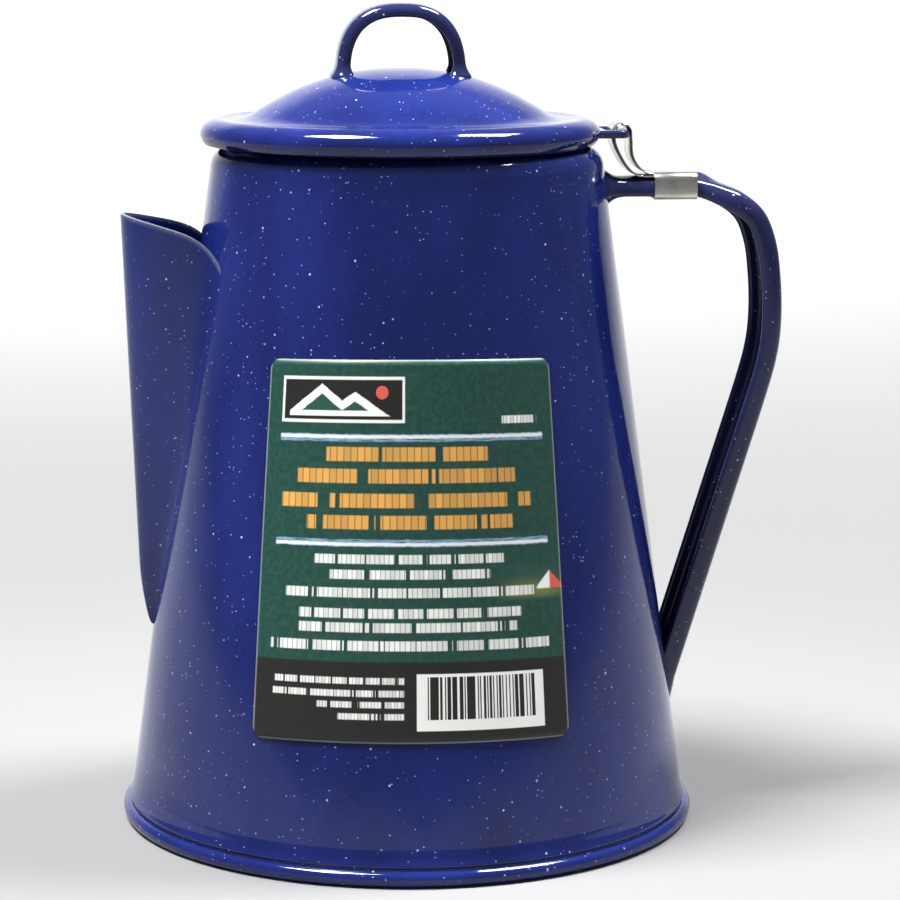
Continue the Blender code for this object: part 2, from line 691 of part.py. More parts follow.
def perforations(rows, z):
    """Places of round holes in rings: each row is a radius and a count."""
    places = []
    for row, (radius, count) in enumerate(rows):
        for i in range(count):
            angle = math.tau * (i + row / 2) / count
            places.append((radius * math.cos(angle), radius * math.sin(angle), z))
    return places


def make_basket_sleeve(aluminium):
    """The basket's middle tube, which slides on the pump tube."""
    inner = TUBE_RADIUS + TUBE_PLAY
    profile = ring_profile(inner, inner + ALUMINIUM_SHEET, BASKET_FLOOR_Z, BASKET_RIM_Z - SPREADER_DISH - MM)
    return spin("basket_sleeve", profile, aluminium, STEPS_SMALL)


def make_basket_cup(aluminium):
    """The grounds basket: a straight cup with a turned lip and a perforated floor."""
    hole = TUBE_RADIUS + TUBE_PLAY + ALUMINIUM_SHEET + GAP
    line = [
        (BASKET_RADIUS + BASKET_LIP, BASKET_RIM_Z - ALUMINIUM_SHEET),
        (BASKET_RADIUS + BASKET_LIP, BASKET_RIM_Z),
        (BASKET_RADIUS - ALUMINIUM_SHEET, BASKET_RIM_Z),
        (BASKET_RADIUS - ALUMINIUM_SHEET, BASKET_FLOOR_Z + 3 * MM),
        (BASKET_RADIUS - 3 * MM, BASKET_FLOOR_Z + ALUMINIUM_SHEET),
        (hole, BASKET_FLOOR_Z + ALUMINIUM_SHEET),
        (hole, BASKET_FLOOR_Z),
        (BASKET_RADIUS - 3 * MM, BASKET_FLOOR_Z),
        (BASKET_RADIUS - 0.9 * MM, BASKET_FLOOR_Z + 0.9 * MM),
        (BASKET_RADIUS, BASKET_FLOOR_Z + 3 * MM),
        (BASKET_RADIUS, BASKET_RIM_Z - ALUMINIUM_SHEET),
    ]
    cup = spin("basket_cup", line, aluminium)
    rows = ((0.36 * BASKET_RADIUS, 8), (0.68 * BASKET_RADIUS, 14))
    boolean(cup, drills("cup_drills", perforations(rows, BASKET_FLOOR_Z), PERFORATION_RADIUS, 4 * MM))
    return cup


def make_spreader_plate(aluminium):
    """The perforated cover that spreads the water over the grounds."""
    hole = TUBE_RADIUS + TUBE_PLAY
    seat = BASKET_RIM_Z + GAP
    dish = seat - SPREADER_DISH
    well = BASKET_RADIUS - ALUMINIUM_SHEET - GAP
    line = [
        (hole, dish + ALUMINIUM_SHEET),
        (well - 3 * MM, dish + ALUMINIUM_SHEET),
        (well - ALUMINIUM_SHEET, seat + ALUMINIUM_SHEET),
        (BASKET_RADIUS + BASKET_LIP, seat + ALUMINIUM_SHEET),
        (BASKET_RADIUS + BASKET_LIP, seat),
        (well, seat),
        (well - 2.4 * MM, dish),
        (hole, dish),
    ]
    plate = spin("spreader_plate", line, aluminium)
    rows = ((0.40 * BASKET_RADIUS, 8), (0.72 * BASKET_RADIUS, 14))
    boolean(plate, drills("plate_drills", perforations(rows, dish), PERFORATION_RADIUS, 6 * MM))
    return plate


def main():
    clear_scene()
    enamel = make_material("blue_enamel", (0.012, 0.022, 0.16), 0.12, 0.0)
    steel = make_material("spring_steel", (0.62, 0.60, 0.56), 0.25, 1.0)
    aluminium = make_material("aluminium", (0.78, 0.79, 0.80), 0.35, 1.0)
    paper = make_material("label_paper", (0.03, 0.09, 0.07), 0.45, 0.0)

    make_body_shell(enamel)
    make_base_pan(enamel)
    make_spout(enamel)
    make_handle(enamel)
    make_hinge_clip(steel)
    make_label(paper)

    make_lid_shell(enamel)
    make_lid_skirt(enamel)
    make_lid_handle(enamel)
    make_lid_eye(enamel)

    make_pump_foot(aluminium)
    make_pump_tube(aluminium)
    make_basket_stop(aluminium)
    make_basket_cup(aluminium)
    make_basket_sleeve(aluminium)
    make_spreader_plate(aluminium)


main()
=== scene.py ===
"""A camping percolator in speckled blue enamel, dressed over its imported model.

Every piece is worked in millimetres in the model's own frame (+X to the handle, -X to the spout,
+Z up) and scaled to metres when it is published.
"""

from __future__ import annotations

import json
import logging
import math
from dataclasses import dataclass, field
from enum import Enum
from typing import Any, Callable

import bmesh
import bpy
from mathutils import Matrix, Vector


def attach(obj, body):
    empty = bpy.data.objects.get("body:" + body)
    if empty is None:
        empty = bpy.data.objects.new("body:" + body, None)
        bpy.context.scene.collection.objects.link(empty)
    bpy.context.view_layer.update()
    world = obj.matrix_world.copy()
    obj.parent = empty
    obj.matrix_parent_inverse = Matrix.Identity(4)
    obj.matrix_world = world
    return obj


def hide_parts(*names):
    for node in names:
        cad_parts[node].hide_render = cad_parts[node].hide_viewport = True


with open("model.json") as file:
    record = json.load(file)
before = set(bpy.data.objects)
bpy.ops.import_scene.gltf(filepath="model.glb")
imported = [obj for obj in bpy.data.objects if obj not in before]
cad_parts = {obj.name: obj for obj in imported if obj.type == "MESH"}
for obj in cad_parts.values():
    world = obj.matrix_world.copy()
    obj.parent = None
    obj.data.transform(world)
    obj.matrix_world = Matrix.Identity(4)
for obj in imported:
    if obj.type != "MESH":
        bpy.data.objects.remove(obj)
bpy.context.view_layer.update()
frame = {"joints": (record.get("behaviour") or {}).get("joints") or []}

LOG = logging.getLogger("percolator")
MM = 0.001

Line = list[Vector]
Colour = tuple[float, float, float]


class Body(Enum):
    """The rigid bodies that pieces ride on."""

    POT = "pot"
    LID = "lid"
    PUMP = "pump"
    BASKET = "basket"
    SPREADER = "spreader"


class Slot(Enum):
    """The record's material slots."""

    ENAMEL = "enamel"
    STEEL = "spring_steel"
    ALUMINIUM = "aluminium"
    PAPER = "label_paper"


# ---------------------------------------------------------------- shader maths


class Value:
    """A number socket that takes part in Python expressions."""

    def __init__(self, paint: Paint, socket: Any) -> None:
        """Keeps the socket and the node tree it belongs to."""
        self.paint = paint
        self.socket = socket

    def _math(self, operation: str, *operands: Any, clamp: bool = False) -> Value:
        """Adds one Math node.

        Args:
            operation: Blender's name of the operation.
            operands: its inputs in order, numbers or values.
            clamp: whether the result is held between 0 and 1.

        Returns:
            The result as a value.
        """
        inputs = dict(enumerate(operands))
        settings = {"operation": operation, "use_clamp": clamp}
        node = self.paint.node("ShaderNodeMath", settings, inputs)
        return Value(self.paint, node.outputs[0])

    def __add__(self, other: Any) -> Value:
        """Sum."""
        return self._math("ADD", self, other)

    __radd__ = __add__

    def __sub__(self, other: Any) -> Value:
        """Difference."""
        return self._math("SUBTRACT", self, other)

    def __rsub__(self, other: Any) -> Value:
        """Difference from a number."""
        return self._math("SUBTRACT", other, self)

    def __mul__(self, other: Any) -> Value:
        """Product."""
        return self._math("MULTIPLY", self, other)

    __rmul__ = __mul__

    def __truediv__(self, other: Any) -> Value:
        """Quotient."""
        return self._math("DIVIDE", self, other)

    def __pow__(self, other: Any) -> Value:
        """Power."""
        return self._math("POWER", self, other)

    def size(self) -> Value:
        """The value without its sign."""
        return self._math("ABSOLUTE", self)

    def whole(self) -> Value:
        """The value rounded down."""
        return self._math("FLOOR", self)

    def most(self, other: Any) -> Value:
        """The larger of two."""
        return self._math("MAXIMUM", self, other)

    def clipped(self) -> Value:
        """The value held between 0 and 1."""
        return self._math("ADD", self, 0.0, clamp=True)

    def ramp(self, low: Any, high: Any) -> Value:
        """A smooth step from 0 at low to 1 at high."""
        node = self.paint.node(
            "ShaderNodeMapRange", {"interpolation_type": "SMOOTHSTEP"},
            {"Value": self, "From Min": low, "From Max": high},
        )
        return Value(self.paint, node.outputs[0])

    def within(self, low: float, high: float, soft: float) -> Value:
        """1 between low and high, with edges this soft."""
        return self.ramp(low - soft, low + soft) * (1 - self.ramp(high - soft, high + soft))


class Paint:
    """A new material's node tree, with one method for every kind of node."""

    def __init__(self, name: str) -> None:
        """Starts a material with one Principled shader."""
        self.material = bpy.data.materials.new(name)
        self.material.use_nodes = True
        self.tree = self.material.node_tree
        self.shader = self.tree.nodes["Principled BSDF"]

    def node(self, kind: str, settings: dict[str, Any], inputs: dict[Any, Any]) -> Any:
        """Adds a node.

        Args:
            kind: the node's type.
            settings: its own settings, made first.
            inputs: a number, a colour, a value or a socket for each input, by name or place.

        Returns:
            The node.
        """
        made = self.tree.nodes.new(kind)
        for key, setting in settings.items():
            if key == "stops":
                made.color_ramp.interpolation = "CONSTANT"
                for place, colour in setting[1:]:
                    made.color_ramp.elements.new(place).color = (*colour, 1.0)
                made.color_ramp.elements[0].color = (*setting[0][1], 1.0)
                made.color_ramp.elements.remove(made.color_ramp.elements[-1])
            else:
                setattr(made, key, setting)
        for key, given in inputs.items():
            self.feed(made.inputs[key], given)
        return made

    def feed(self, socket: Any, given: Any) -> None:
        """Links a value or socket to an input, or sets the input's own number."""
        if isinstance(given, Value):
            given = given.socket
        if isinstance(given, bpy.types.NodeSocket):
            self.tree.links.new(given, socket)
        elif isinstance(given, tuple) and len(given) == 3 and socket.type == "RGBA":
            socket.default_value = (*given, 1.0)
        else:
            socket.default_value = given

    def place(self, scale: tuple[float, float, float] = (1.0, 1.0, 1.0)) -> Any:
        """Object coordinates, stretched by a factor on each axis."""
        return self.stretch(self.node("ShaderNodeTexCoord", {}, {}).outputs["Object"], scale)

    def stretch(self, vector: Any, scale: tuple[float, float, float]) -> Any:
        """A vector with each of its numbers multiplied by a factor."""
        return self.node("ShaderNodeMapping", {}, {"Vector": vector, "Scale": scale}).outputs[0]

    def parts(self, vector: Any) -> tuple[Value, Value, Value]:
        """A vector's three numbers."""
        node = self.node("ShaderNodeSeparateXYZ", {}, {"Vector": vector})
        return tuple(Value(self, socket) for socket in node.outputs)

    def noise(self, vector: Any, scale: float, detail: float = 2.0, rough: float = 0.5) -> Value:
        """Fractal noise round 0.5."""
        node = self.node(
            "ShaderNodeTexNoise", {},
            {"Vector": vector, "Scale": scale, "Detail": detail, "Roughness": rough},
        )
        return Value(self, node.outputs[0])

    def cells(self, vector: Any, scale: float) -> tuple[Value, Value, Value]:
        """Random cells: the distance to the cell's point, and two random numbers of the cell."""
        node = self.node("ShaderNodeTexVoronoi", {}, {"Vector": vector, "Scale": scale})
        split = self.node("ShaderNodeSeparateColor", {}, {"Color": node.outputs["Color"]})
        numbers = (node.outputs["Distance"], split.outputs[0], split.outputs[1])
        return tuple(Value(self, socket) for socket in numbers)

    def steps(self, value: Value, stops: list[tuple[float, Colour]]) -> tuple[Value, Value, Value]:
        """Three numbers that change at set places of a value."""
        ramp = self.node("ShaderNodeValToRGB", {"stops": stops}, {"Fac": value})
        split = self.node("ShaderNodeSeparateColor", {}, {"Color": ramp.outputs["Color"]})
        return tuple(Value(self, socket) for socket in split.outputs)

    def random(self, *numbers: Any) -> Value:
        """White noise of up to three whole numbers."""
        vector = self.node("ShaderNodeCombineXYZ", {}, dict(enumerate(numbers))).outputs[0]
        node = self.node("ShaderNodeTexWhiteNoise", {"noise_dimensions": "3D"}, {"Vector": vector})
        return Value(self, node.outputs["Value"])

    def mark(self, name: str) -> Value:
        """A number that the piece carries on its points, 0 where it has none."""
        node = self.node("ShaderNodeAttribute", {"attribute_name": name}, {})
        return Value(self, node.outputs["Fac"])

    def blend(self, share: Any, first: Any, second: Any) -> Any:
        """A colour between two: the first at 0 and the second at 1."""
        node = self.node("ShaderNodeMix", {"data_type": "RGBA"}, {0: share, 6: first, 7: second})
        return node.outputs[2]

    def relief(self, height: Value, strength: float, reach: float) -> None:
        """Feeds a height in millimetres to the shader's normal through a Bump node."""
        node = self.node(
            "ShaderNodeBump", {}, {"Strength": strength, "Distance": reach, "Height": height},
        )
        self.feed(self.shader.inputs["Normal"], node.outputs[0])

    def finish(self, **sockets: Any) -> Any:
        """Feeds the shader's inputs, named with _ for a space, and returns the material."""
        for key, given in sockets.items():
            self.feed(self.shader.inputs[key.replace("_", " ")], given)
        return self.material


# ---------------------------------------------------------------- finishes


@dataclass(frozen=True)
class SpeckledEnamel:
    """Glossy vitreous enamel: deep blue with white specks and a softly wavy skin."""

    name: str = "speckled_blue_enamel"
    deep: Colour = (0.0055, 0.0110, 0.086)
    bright: Colour = (0.0085, 0.0170, 0.128)
    speck: Colour = (0.55, 0.60, 0.86)
    thin_edge: Colour = (0.10, 0.115, 0.15)
    fine_specks: tuple[float, float, float] = (1.0, 0.22, 0.19)  # cell, largest radius, share
    coarse_specks: tuple[float, float, float] = (2.3, 0.40, 0.20)
    gloss: tuple[float, float] = (0.055, 0.05)  # roughness, and how far it wanders

    def specks(self, paint: Paint, cell: float, radius: float, share: float) -> Value:
        """Round specks of many sizes.

        Args:
            paint: the material.
            cell: mean distance between possible specks, in millimetres.
            radius: the largest speck's radius, in millimetres.
            share: how many of the possible specks are there.

        Returns:
            0 between specks, up to 1 on the brightest.
        """
        distance, chance, strength = paint.cells(paint.place(), 1 / (cell * MM))
        there = chance.ramp(1 - share, 1 - 0.5 * share)
        rim = there * (radius / cell)
        disc = 1 - distance.ramp(rim * 0.45, rim + 0.001)
        return disc * chance.ramp(1 - share, 1 - share + 0.01) * (0.3 + 0.7 * strength)

    def build(self) -> Any:
        """Makes the material."""
        paint = Paint(self.name)
        cloud = paint.noise(paint.place((1.0, 1.0, 0.4)), 42.0, 3.0)
        grain = paint.noise(paint.place(), 900.0, 2.0)
        pigment = (cloud * 0.75 + grain * 0.25).ramp(0.36, 0.66)
        colour = paint.blend(pigment, self.deep, self.bright)
        edge = paint.mark("thin_edge") * (0.55 + 0.45 * paint.noise(paint.place(), 260.0))
        colour = paint.blend(edge.clipped(), colour, self.thin_edge)
        dots = self.specks(paint, *self.fine_specks).most(self.specks(paint, *self.coarse_specks))
        colour = paint.blend(dots * 0.9, colour, self.speck)
        waves = paint.noise(paint.place((1.0, 1.0, 0.28)), 75.0, 1.0)
        peel = paint.noise(paint.place(), 420.0, 1.0)
        paint.relief(waves + peel * 0.05 + dots * 0.01, 0.35, 0.6 * MM)
        rough = self.gloss[0] + self.gloss[1] * paint.noise(paint.place(), 120.0, 3.0)
        return paint.finish(Base_Color=colour, Roughness=rough, IOR=1.46)


@dataclass(frozen=True)
class SpringSteel:
    """Rolled bright strip, with fine lines along its length."""

    name: str = "bright_spring_steel"
    light: Colour = (0.74, 0.71, 0.66)
    dull: Colour = (0.52, 0.50, 0.455)

    def build(self) -> Any:
        """Makes the material."""
        paint = Paint(self.name)
        lines = paint.noise(paint.place((0.05, 1.0, 0.16)), 2600.0, 2.0)
        stain = paint.noise(paint.place(), 160.0, 4.0, 0.65)
        colour = paint.blend(stain.ramp(0.35, 0.75), self.light, self.dull)
        paint.relief(lines, 0.25, 0.04 * MM)
        rough = 0.17 + 0.16 * lines * stain
        return paint.finish(Base_Color=colour, Roughness=rough, Metallic=1.0)


@dataclass(frozen=True)
class SpunAluminium:
    """Bare aluminium with the fine rings that spinning leaves."""

    name: str = "spun_aluminium"
    light: Colour = (0.83, 0.84, 0.85)
    dull: Colour = (0.60, 0.61, 0.63)

    def build(self) -> Any:
        """Makes the material."""
        paint = Paint(self.name)
        x, y, z = paint.parts(paint.place())
        radius = (x * x + y * y) ** 0.5
        rings = paint.noise(
            paint.node("ShaderNodeCombineXYZ", {}, {0: radius, 2: z}).outputs[0], 1900.0, 2.0,
        )
        oxide = paint.noise(paint.place(), 95.0, 4.0, 0.6)
        colour = paint.blend(oxide.ramp(0.3, 0.8), self.light, self.dull)
        paint.relief(rings, 0.3, 0.05 * MM)
        rough = 0.22 + 0.22 * rings * oxide
        return paint.finish(Base_Color=colour, Roughness=rough, Metallic=1.0)


@dataclass(frozen=True)
class PrintedRow:
    """A row of word-like blocks: its ends across the label and its two heights."""

    left: float
    right: float
    high: float
    low: float
    word: float  # mean length of a word
    seed: float


@dataclass(frozen=True)
class PrintedPaper:
    """The label's print: a framed badge, ruled titles in orange, white lines and a bar code.

    Places are shares of the label, from its left and lower edges. Words are blocks, never letters.
    """

    name: str = "printed_label"
    green: Colour = (0.0055, 0.044, 0.032)
    green_light: Colour = (0.014, 0.070, 0.053)
    black: Colour = (0.0105, 0.0100, 0.0090)
    white: Colour = (0.80, 0.80, 0.76)
    orange: Colour = (0.72, 0.36, 0.075)
    rule: Colour = (0.22, 0.36, 0.52)
    grass: Colour = (0.16, 0.19, 0.05)
    tent: Colour = (0.62, 0.10, 0.07)
    black_top: float = 0.213
    meadow: tuple[float, float] = (0.90, 0.445)  # its middle across, and its hill's height
    tent_place: tuple[float, float, float] = (0.955, 0.445, 0.395)  # ridge across, top and foot
    tent_slope: float = 0.85
    rules: tuple[tuple[float, float], ...] = ((0.797, 1.0), (0.523, -1.0))  # height, side of core
    rule_ends: tuple[float, float] = (0.055, 0.955)
    badge_across: tuple[float, float] = (0.056, 0.480)
    badge_up: tuple[float, float] = (0.836, 0.956)
    badge_line: float = 0.008
    peaks: tuple[tuple[float, float, float], ...] = ((0.20, 0.935, 0.62), (0.315, 0.915, 0.55))
    sun: tuple[float, float, float] = (0.405, 0.915, 0.0175)  # across, up and radius
    sun_squash: float = 0.72
    code_across: tuple[float, float] = (0.515, 0.915)
    code_up: tuple[float, float] = (0.033, 0.182)
    bars_across: tuple[float, float] = (0.540, 0.892)
    bars_up: tuple[float, float] = (0.062, 0.174)
    bar_count: int = 95
    stroke_pitch: float = 0.62  # of a row's height
    titles: tuple[PrintedRow, ...] = (
        PrintedRow(0.222, 0.752, 0.773, 0.736, 0.19, 3.1),
        PrintedRow(0.124, 0.845, 0.716, 0.679, 0.24, 7.7),
        PrintedRow(0.070, 0.899, 0.652, 0.615, 0.30, 1.3),
        PrintedRow(0.162, 0.830, 0.595, 0.559, 0.17, 9.2),
    )
    notes: tuple[PrintedRow, ...] = (
        PrintedRow(0.192, 0.795, 0.493, 0.469, 0.095, 2.4),
        PrintedRow(0.243, 0.750, 0.453, 0.429, 0.13, 5.9),
        PrintedRow(0.098, 0.896, 0.406, 0.381, 0.10, 4.2),
        PrintedRow(0.146, 0.848, 0.352, 0.327, 0.09, 8.8),
        PrintedRow(0.147, 0.832, 0.315, 0.290, 0.14, 6.5),
        PrintedRow(0.052, 0.942, 0.268, 0.242, 0.11, 0.7),
        PrintedRow(0.071, 0.477, 0.172, 0.155, 0.05, 3.9),
        PrintedRow(0.066, 0.477, 0.139, 0.122, 0.07, 1.9),
        PrintedRow(0.212, 0.477, 0.109, 0.093, 0.08, 6.1),
        PrintedRow(0.278, 0.477, 0.078, 0.062, 0.20, 8.1),
        PrintedRow(0.802, 0.936, 0.852, 0.832, 0.07, 5.1),
    )

    def rows(self, paint: Paint, u: Value, v: Value, rows: tuple[PrintedRow, ...]) -> Value:
        """Blocks that read as rows of words from a distance.

        Args:
            paint: the material.
            u: the share across.
            v: the share up.
            rows: the rows, none of them beside another.

        Returns:
            1 on the ink and 0 between.
        """
        ends, looks, top = [], [], 0.0
        for row in sorted(rows, key=lambda r: r.low):
            change = (top + row.low) / 2
            ends.append((change, (row.left, row.right, row.low)))
            looks.append((change, (row.high - row.low, row.word, row.seed / 20)))
            top = row.high
        left, right, low = paint.steps(v, ends)
        tall, word, seed = paint.steps(v, looks)
        line = v.within(low, low + tall, 0.0018) * u.within(left, right, 0.003)
        strokes = (u + seed) / (tall * self.stroke_pitch)
        stroke = strokes.whole()
        gap = (strokes - stroke - 0.5).size().ramp(0.50, 0.36)
        ink = paint.random(stroke, 2.0, seed)
        words = (u + seed) / word + 0.2 * paint.random(stroke, 5.0, seed)
        space = (words - words.whole()).ramp(0.13, 0.16)
        return line * (0.25 + 0.75 * gap) * space * (0.70 + 0.30 * ink)

    def add_meadow(self, paint: Paint, uv: Any, colour: Any) -> Any:
        """Adds a meadow that fades out, with a tent in two colours, near the right edge."""
        u, v, _ = paint.parts(uv)
        middle, top = self.meadow
        hill = top + 0.02 * paint.noise(uv, 14.0)
        patch = (1 - ((u - middle).size() * 6.0).ramp(0.2, 1.0)) * v.within(0.375, 0.47, 0.012)
        grass = paint.blend(v.ramp(0.385, 0.44), self.grass, self.green_light)
        colour = paint.blend(patch * (1 - v.ramp(hill, hill + 0.01)) * 0.8, colour, grass)
        ridge, peak, foot = self.tent_place
        roof = peak - (u - ridge).size() * self.tent_slope - v
        tent = roof.ramp(0.0, 0.006) * v.ramp(foot - 0.003, foot + 0.003) * u.ramp(0.90, 0.915)
        cloth = paint.blend((u - ridge).ramp(-0.004, 0.004), self.white, self.tent)
        return paint.blend(tent, colour, cloth)

    def add_foot(self, paint: Paint, uv: Any, colour: Any) -> Any:
        """Adds the black foot of the label."""
        _, v, _ = paint.parts(uv)
        above = v.ramp(self.black_top - 0.003, self.black_top + 0.003)
        return paint.blend(1 - above, colour, self.black)

    def add_rules(self, paint: Paint, uv: Any, colour: Any) -> Any:
        """Adds the two brushed rules, each with a white core beside its middle."""
        u, v, _ = paint.parts(uv)
        for middle, side in self.rules:
            wander = 0.006 * paint.noise(paint.stretch(uv, (6.0, 1.0, 1.0)), 9.0, 4.0, 0.7)
            away = v - middle + wander - 0.003
            bristle = paint.noise(paint.stretch(uv, (3.0, 60.0, 1.0)), 6.0, 3.0).ramp(0.3, 0.6)
            across = u.within(*self.rule_ends, 0.004)
            stroke = across * (1 - away.size().ramp(0.008, 0.0115)) * bristle
            colour = paint.blend(stroke, colour, self.rule)
            core = (away - side * 0.003).size()
            colour = paint.blend(across * (1 - core.ramp(0.003, 0.0055)) * 0.85, colour, self.white)
        return colour

    def add_badge(self, paint: Paint, uv: Any, colour: Any) -> Any:
        """Adds the framed badge with its two peaks and the red sun."""
        u, v, _ = paint.parts(uv)
        (left, right), (low, high), line = self.badge_across, self.badge_up, self.badge_line
        outside = u.within(left, right, 0.002) * v.within(low, high, 0.002)
        inside = u.within(left + line, right - line, 0.002) * v.within(low + line, high - line, 0.002)
        colour = paint.blend(outside, colour, self.white)
        colour = paint.blend(inside, colour, self.black)
        first, second = (top - (u - middle).size() * slope for middle, top, slope in self.peaks)
        depth = first.most(second) + 0.006 * paint.noise(uv, 45.0) - v
        mountain = depth.ramp(-0.001, 0.003) * v.ramp(0.852, 0.855) * u.within(0.085, 0.44, 0.002)
        colour = paint.blend(mountain, colour, self.white)
        slope = depth.ramp(0.024, 0.028) * mountain * v.ramp(0.866, 0.869)
        colour = paint.blend(slope, colour, self.green_light)
        across, up, radius = self.sun
        away = (((u - across) ** 2.0) * self.sun_squash + (v - up) ** 2.0) ** 0.5
        return paint.blend(1 - away.ramp(radius - 0.001, radius + 0.001), colour, self.tent)

    def add_words(self, paint: Paint, uv: Any, colour: Any) -> Any:
        """Adds the orange titles and the white notes."""
        u, v, _ = paint.parts(uv)
        colour = paint.blend(self.rows(paint, u, v, self.titles), colour, self.orange)
        return paint.blend(self.rows(paint, u, v, self.notes), colour, self.white)

    def add_bar_code(self, paint: Paint, uv: Any, colour: Any) -> Any:
        """Adds the white box with its upright bars."""
        u, v, _ = paint.parts(uv)
        box = u.within(*self.code_across, 0.0015) * v.within(*self.code_up, 0.0015)
        colour = paint.blend(box, colour, self.white)
        start, end = self.bars_across
        bar = ((u - start) * (self.bar_count / (end - start))).whole()
        ink = paint.random(bar, 4.0, 2.0).ramp(0.499, 0.501)
        tall = v.within(*self.bars_up, 0.001) * u.within(start, end, 0.0008)
        return paint.blend(ink * tall, colour, self.black)

    def add_rim(self, paint: Paint, uv: Any, colour: Any) -> Any:
        """Adds the paler cut edge."""
        u, v, _ = paint.parts(uv)
        rim = (u - 0.5).size().ramp(0.4935, 0.4975).most((v - 0.5).size().ramp(0.4945, 0.4975))
        return paint.blend(rim * 0.2, colour, self.white)

    def build(self) -> Any:
        """Makes the material."""
        paint = Paint(self.name)
        uv = paint.node("ShaderNodeUVMap", {"uv_map": "label"}, {}).outputs[0]
        fibre = paint.noise(uv, 60.0, 3.0)
        colour = paint.blend(fibre.ramp(0.3, 0.8), self.green, self.green_light)
        for add in (self.add_meadow, self.add_foot, self.add_rules, self.add_badge, self.add_words,
                    self.add_bar_code, self.add_rim):
            colour = add(paint, uv, colour)
        wrinkle = paint.noise(uv, 7.0, 2.0)
        paint.relief(wrinkle + fibre * 0.06, 0.3, 0.5 * MM)
        return paint.finish(Base_Color=colour, Roughness=0.36 + 0.14 * fibre, IOR=1.45)


# ---------------------------------------------------------------- lines and sections


def smooth_line(points: list[Any], steps: int) -> Line:
    """A Catmull-Rom line through points, with this many steps in each span."""
    ends = [points[0], *points, points[-1]]
    line: Line = []
    for i in range(len(points) - 1):
        a, b, c, d = (Vector(p) for p in ends[i:i + 4])
        for step in range(steps):
            t = step / steps
            line.append(0.5 * (2 * b + (c - a) * t + (2 * a - 5 * b + 4 * c - d) * t * t
                               + (3 * b - a - 3 * c + d) * t ** 3))
    return line + [Vector(points[-1])]


def offset_line(points: Line, distance: float, closed: bool = False) -> Line:
    """The line moved to the right of its direction, with mitred corners."""
    count, moved = len(points), []
    for i, point in enumerate(points):
        normals = []
        for a, b in ((i - 1, i), (i, i + 1)):
            if closed or (a >= 0 and b < count):
                along = Vector(points[b % count]) - Vector(points[a % count])
                if along.length > 1e-9:
                    along.normalize()
                    normals.append(Vector((along.y, -along.x)))
        mitre = sum(normals, Vector((0, 0))).normalized()
        moved.append(Vector(point) + mitre * distance / max(mitre.dot(normals[0]), 0.5))
    return moved


def round_corners(corners: list[tuple[float, float, float]], steps: int = 5) -> Line:
    """A closed line through corners, each given with the radius that rounds it."""
    line: Line = []
    for i, (x, y, radius) in enumerate(corners):
        here = Vector((x, y))
        if radius <= 0:
            line.append(here)
            continue
        before = Vector(corners[i - 1][:2]) - here
        after = Vector(corners[(i + 1) % len(corners)][:2]) - here
        half = before.angle(after) / 2
        reach = min(radius / math.tan(half), before.length * 0.49, after.length * 0.49)
        start, end = here + before.normalized() * reach, here + after.normalized() * reach
        centre = here + (before.normalized() + after.normalized()).normalized() * math.hypot(
            reach, reach * math.tan(half))
        for step in range(steps + 1):
            t = step / steps
            mixed = (start.lerp(end, t) - centre).normalized()
            line.append(centre + mixed * (start - centre).length)
    return line


def stadium(centreline: Line, thickness: float, steps: int = 4) -> Line:
    """The closed outline of a strip with round ends, given its centreline."""
    half = thickness / 2
    outline: Line = []
    for path in (centreline, centreline[::-1]):
        side = offset_line(path, half)
        outline += side
        along = (path[-1] - path[-2]).normalized()
        right = Vector((along.y, -along.x))
        for step in range(1, steps):
            angle = math.pi * step / steps
            outline.append(path[-1] + right * half * math.cos(angle) + along * half * math.sin(angle))
    return outline


def ease(value: float, low: float, high: float) -> float:
    """0 below low, 1 above high, and a smooth rise between them."""
    share = min(max((value - low) / (high - low), 0.0), 1.0)
    return share * share * (3 - 2 * share)


def smooth_max(first: float, second: float, reach: float) -> float:
    """The larger of two, rounded where they come within reach of each other."""
    if reach <= 0:
        return max(first, second)
    near = max(reach - abs(first - second), 0.0) / reach
    return max(first, second) + near * near * reach / 4


# ---------------------------------------------------------------- pieces


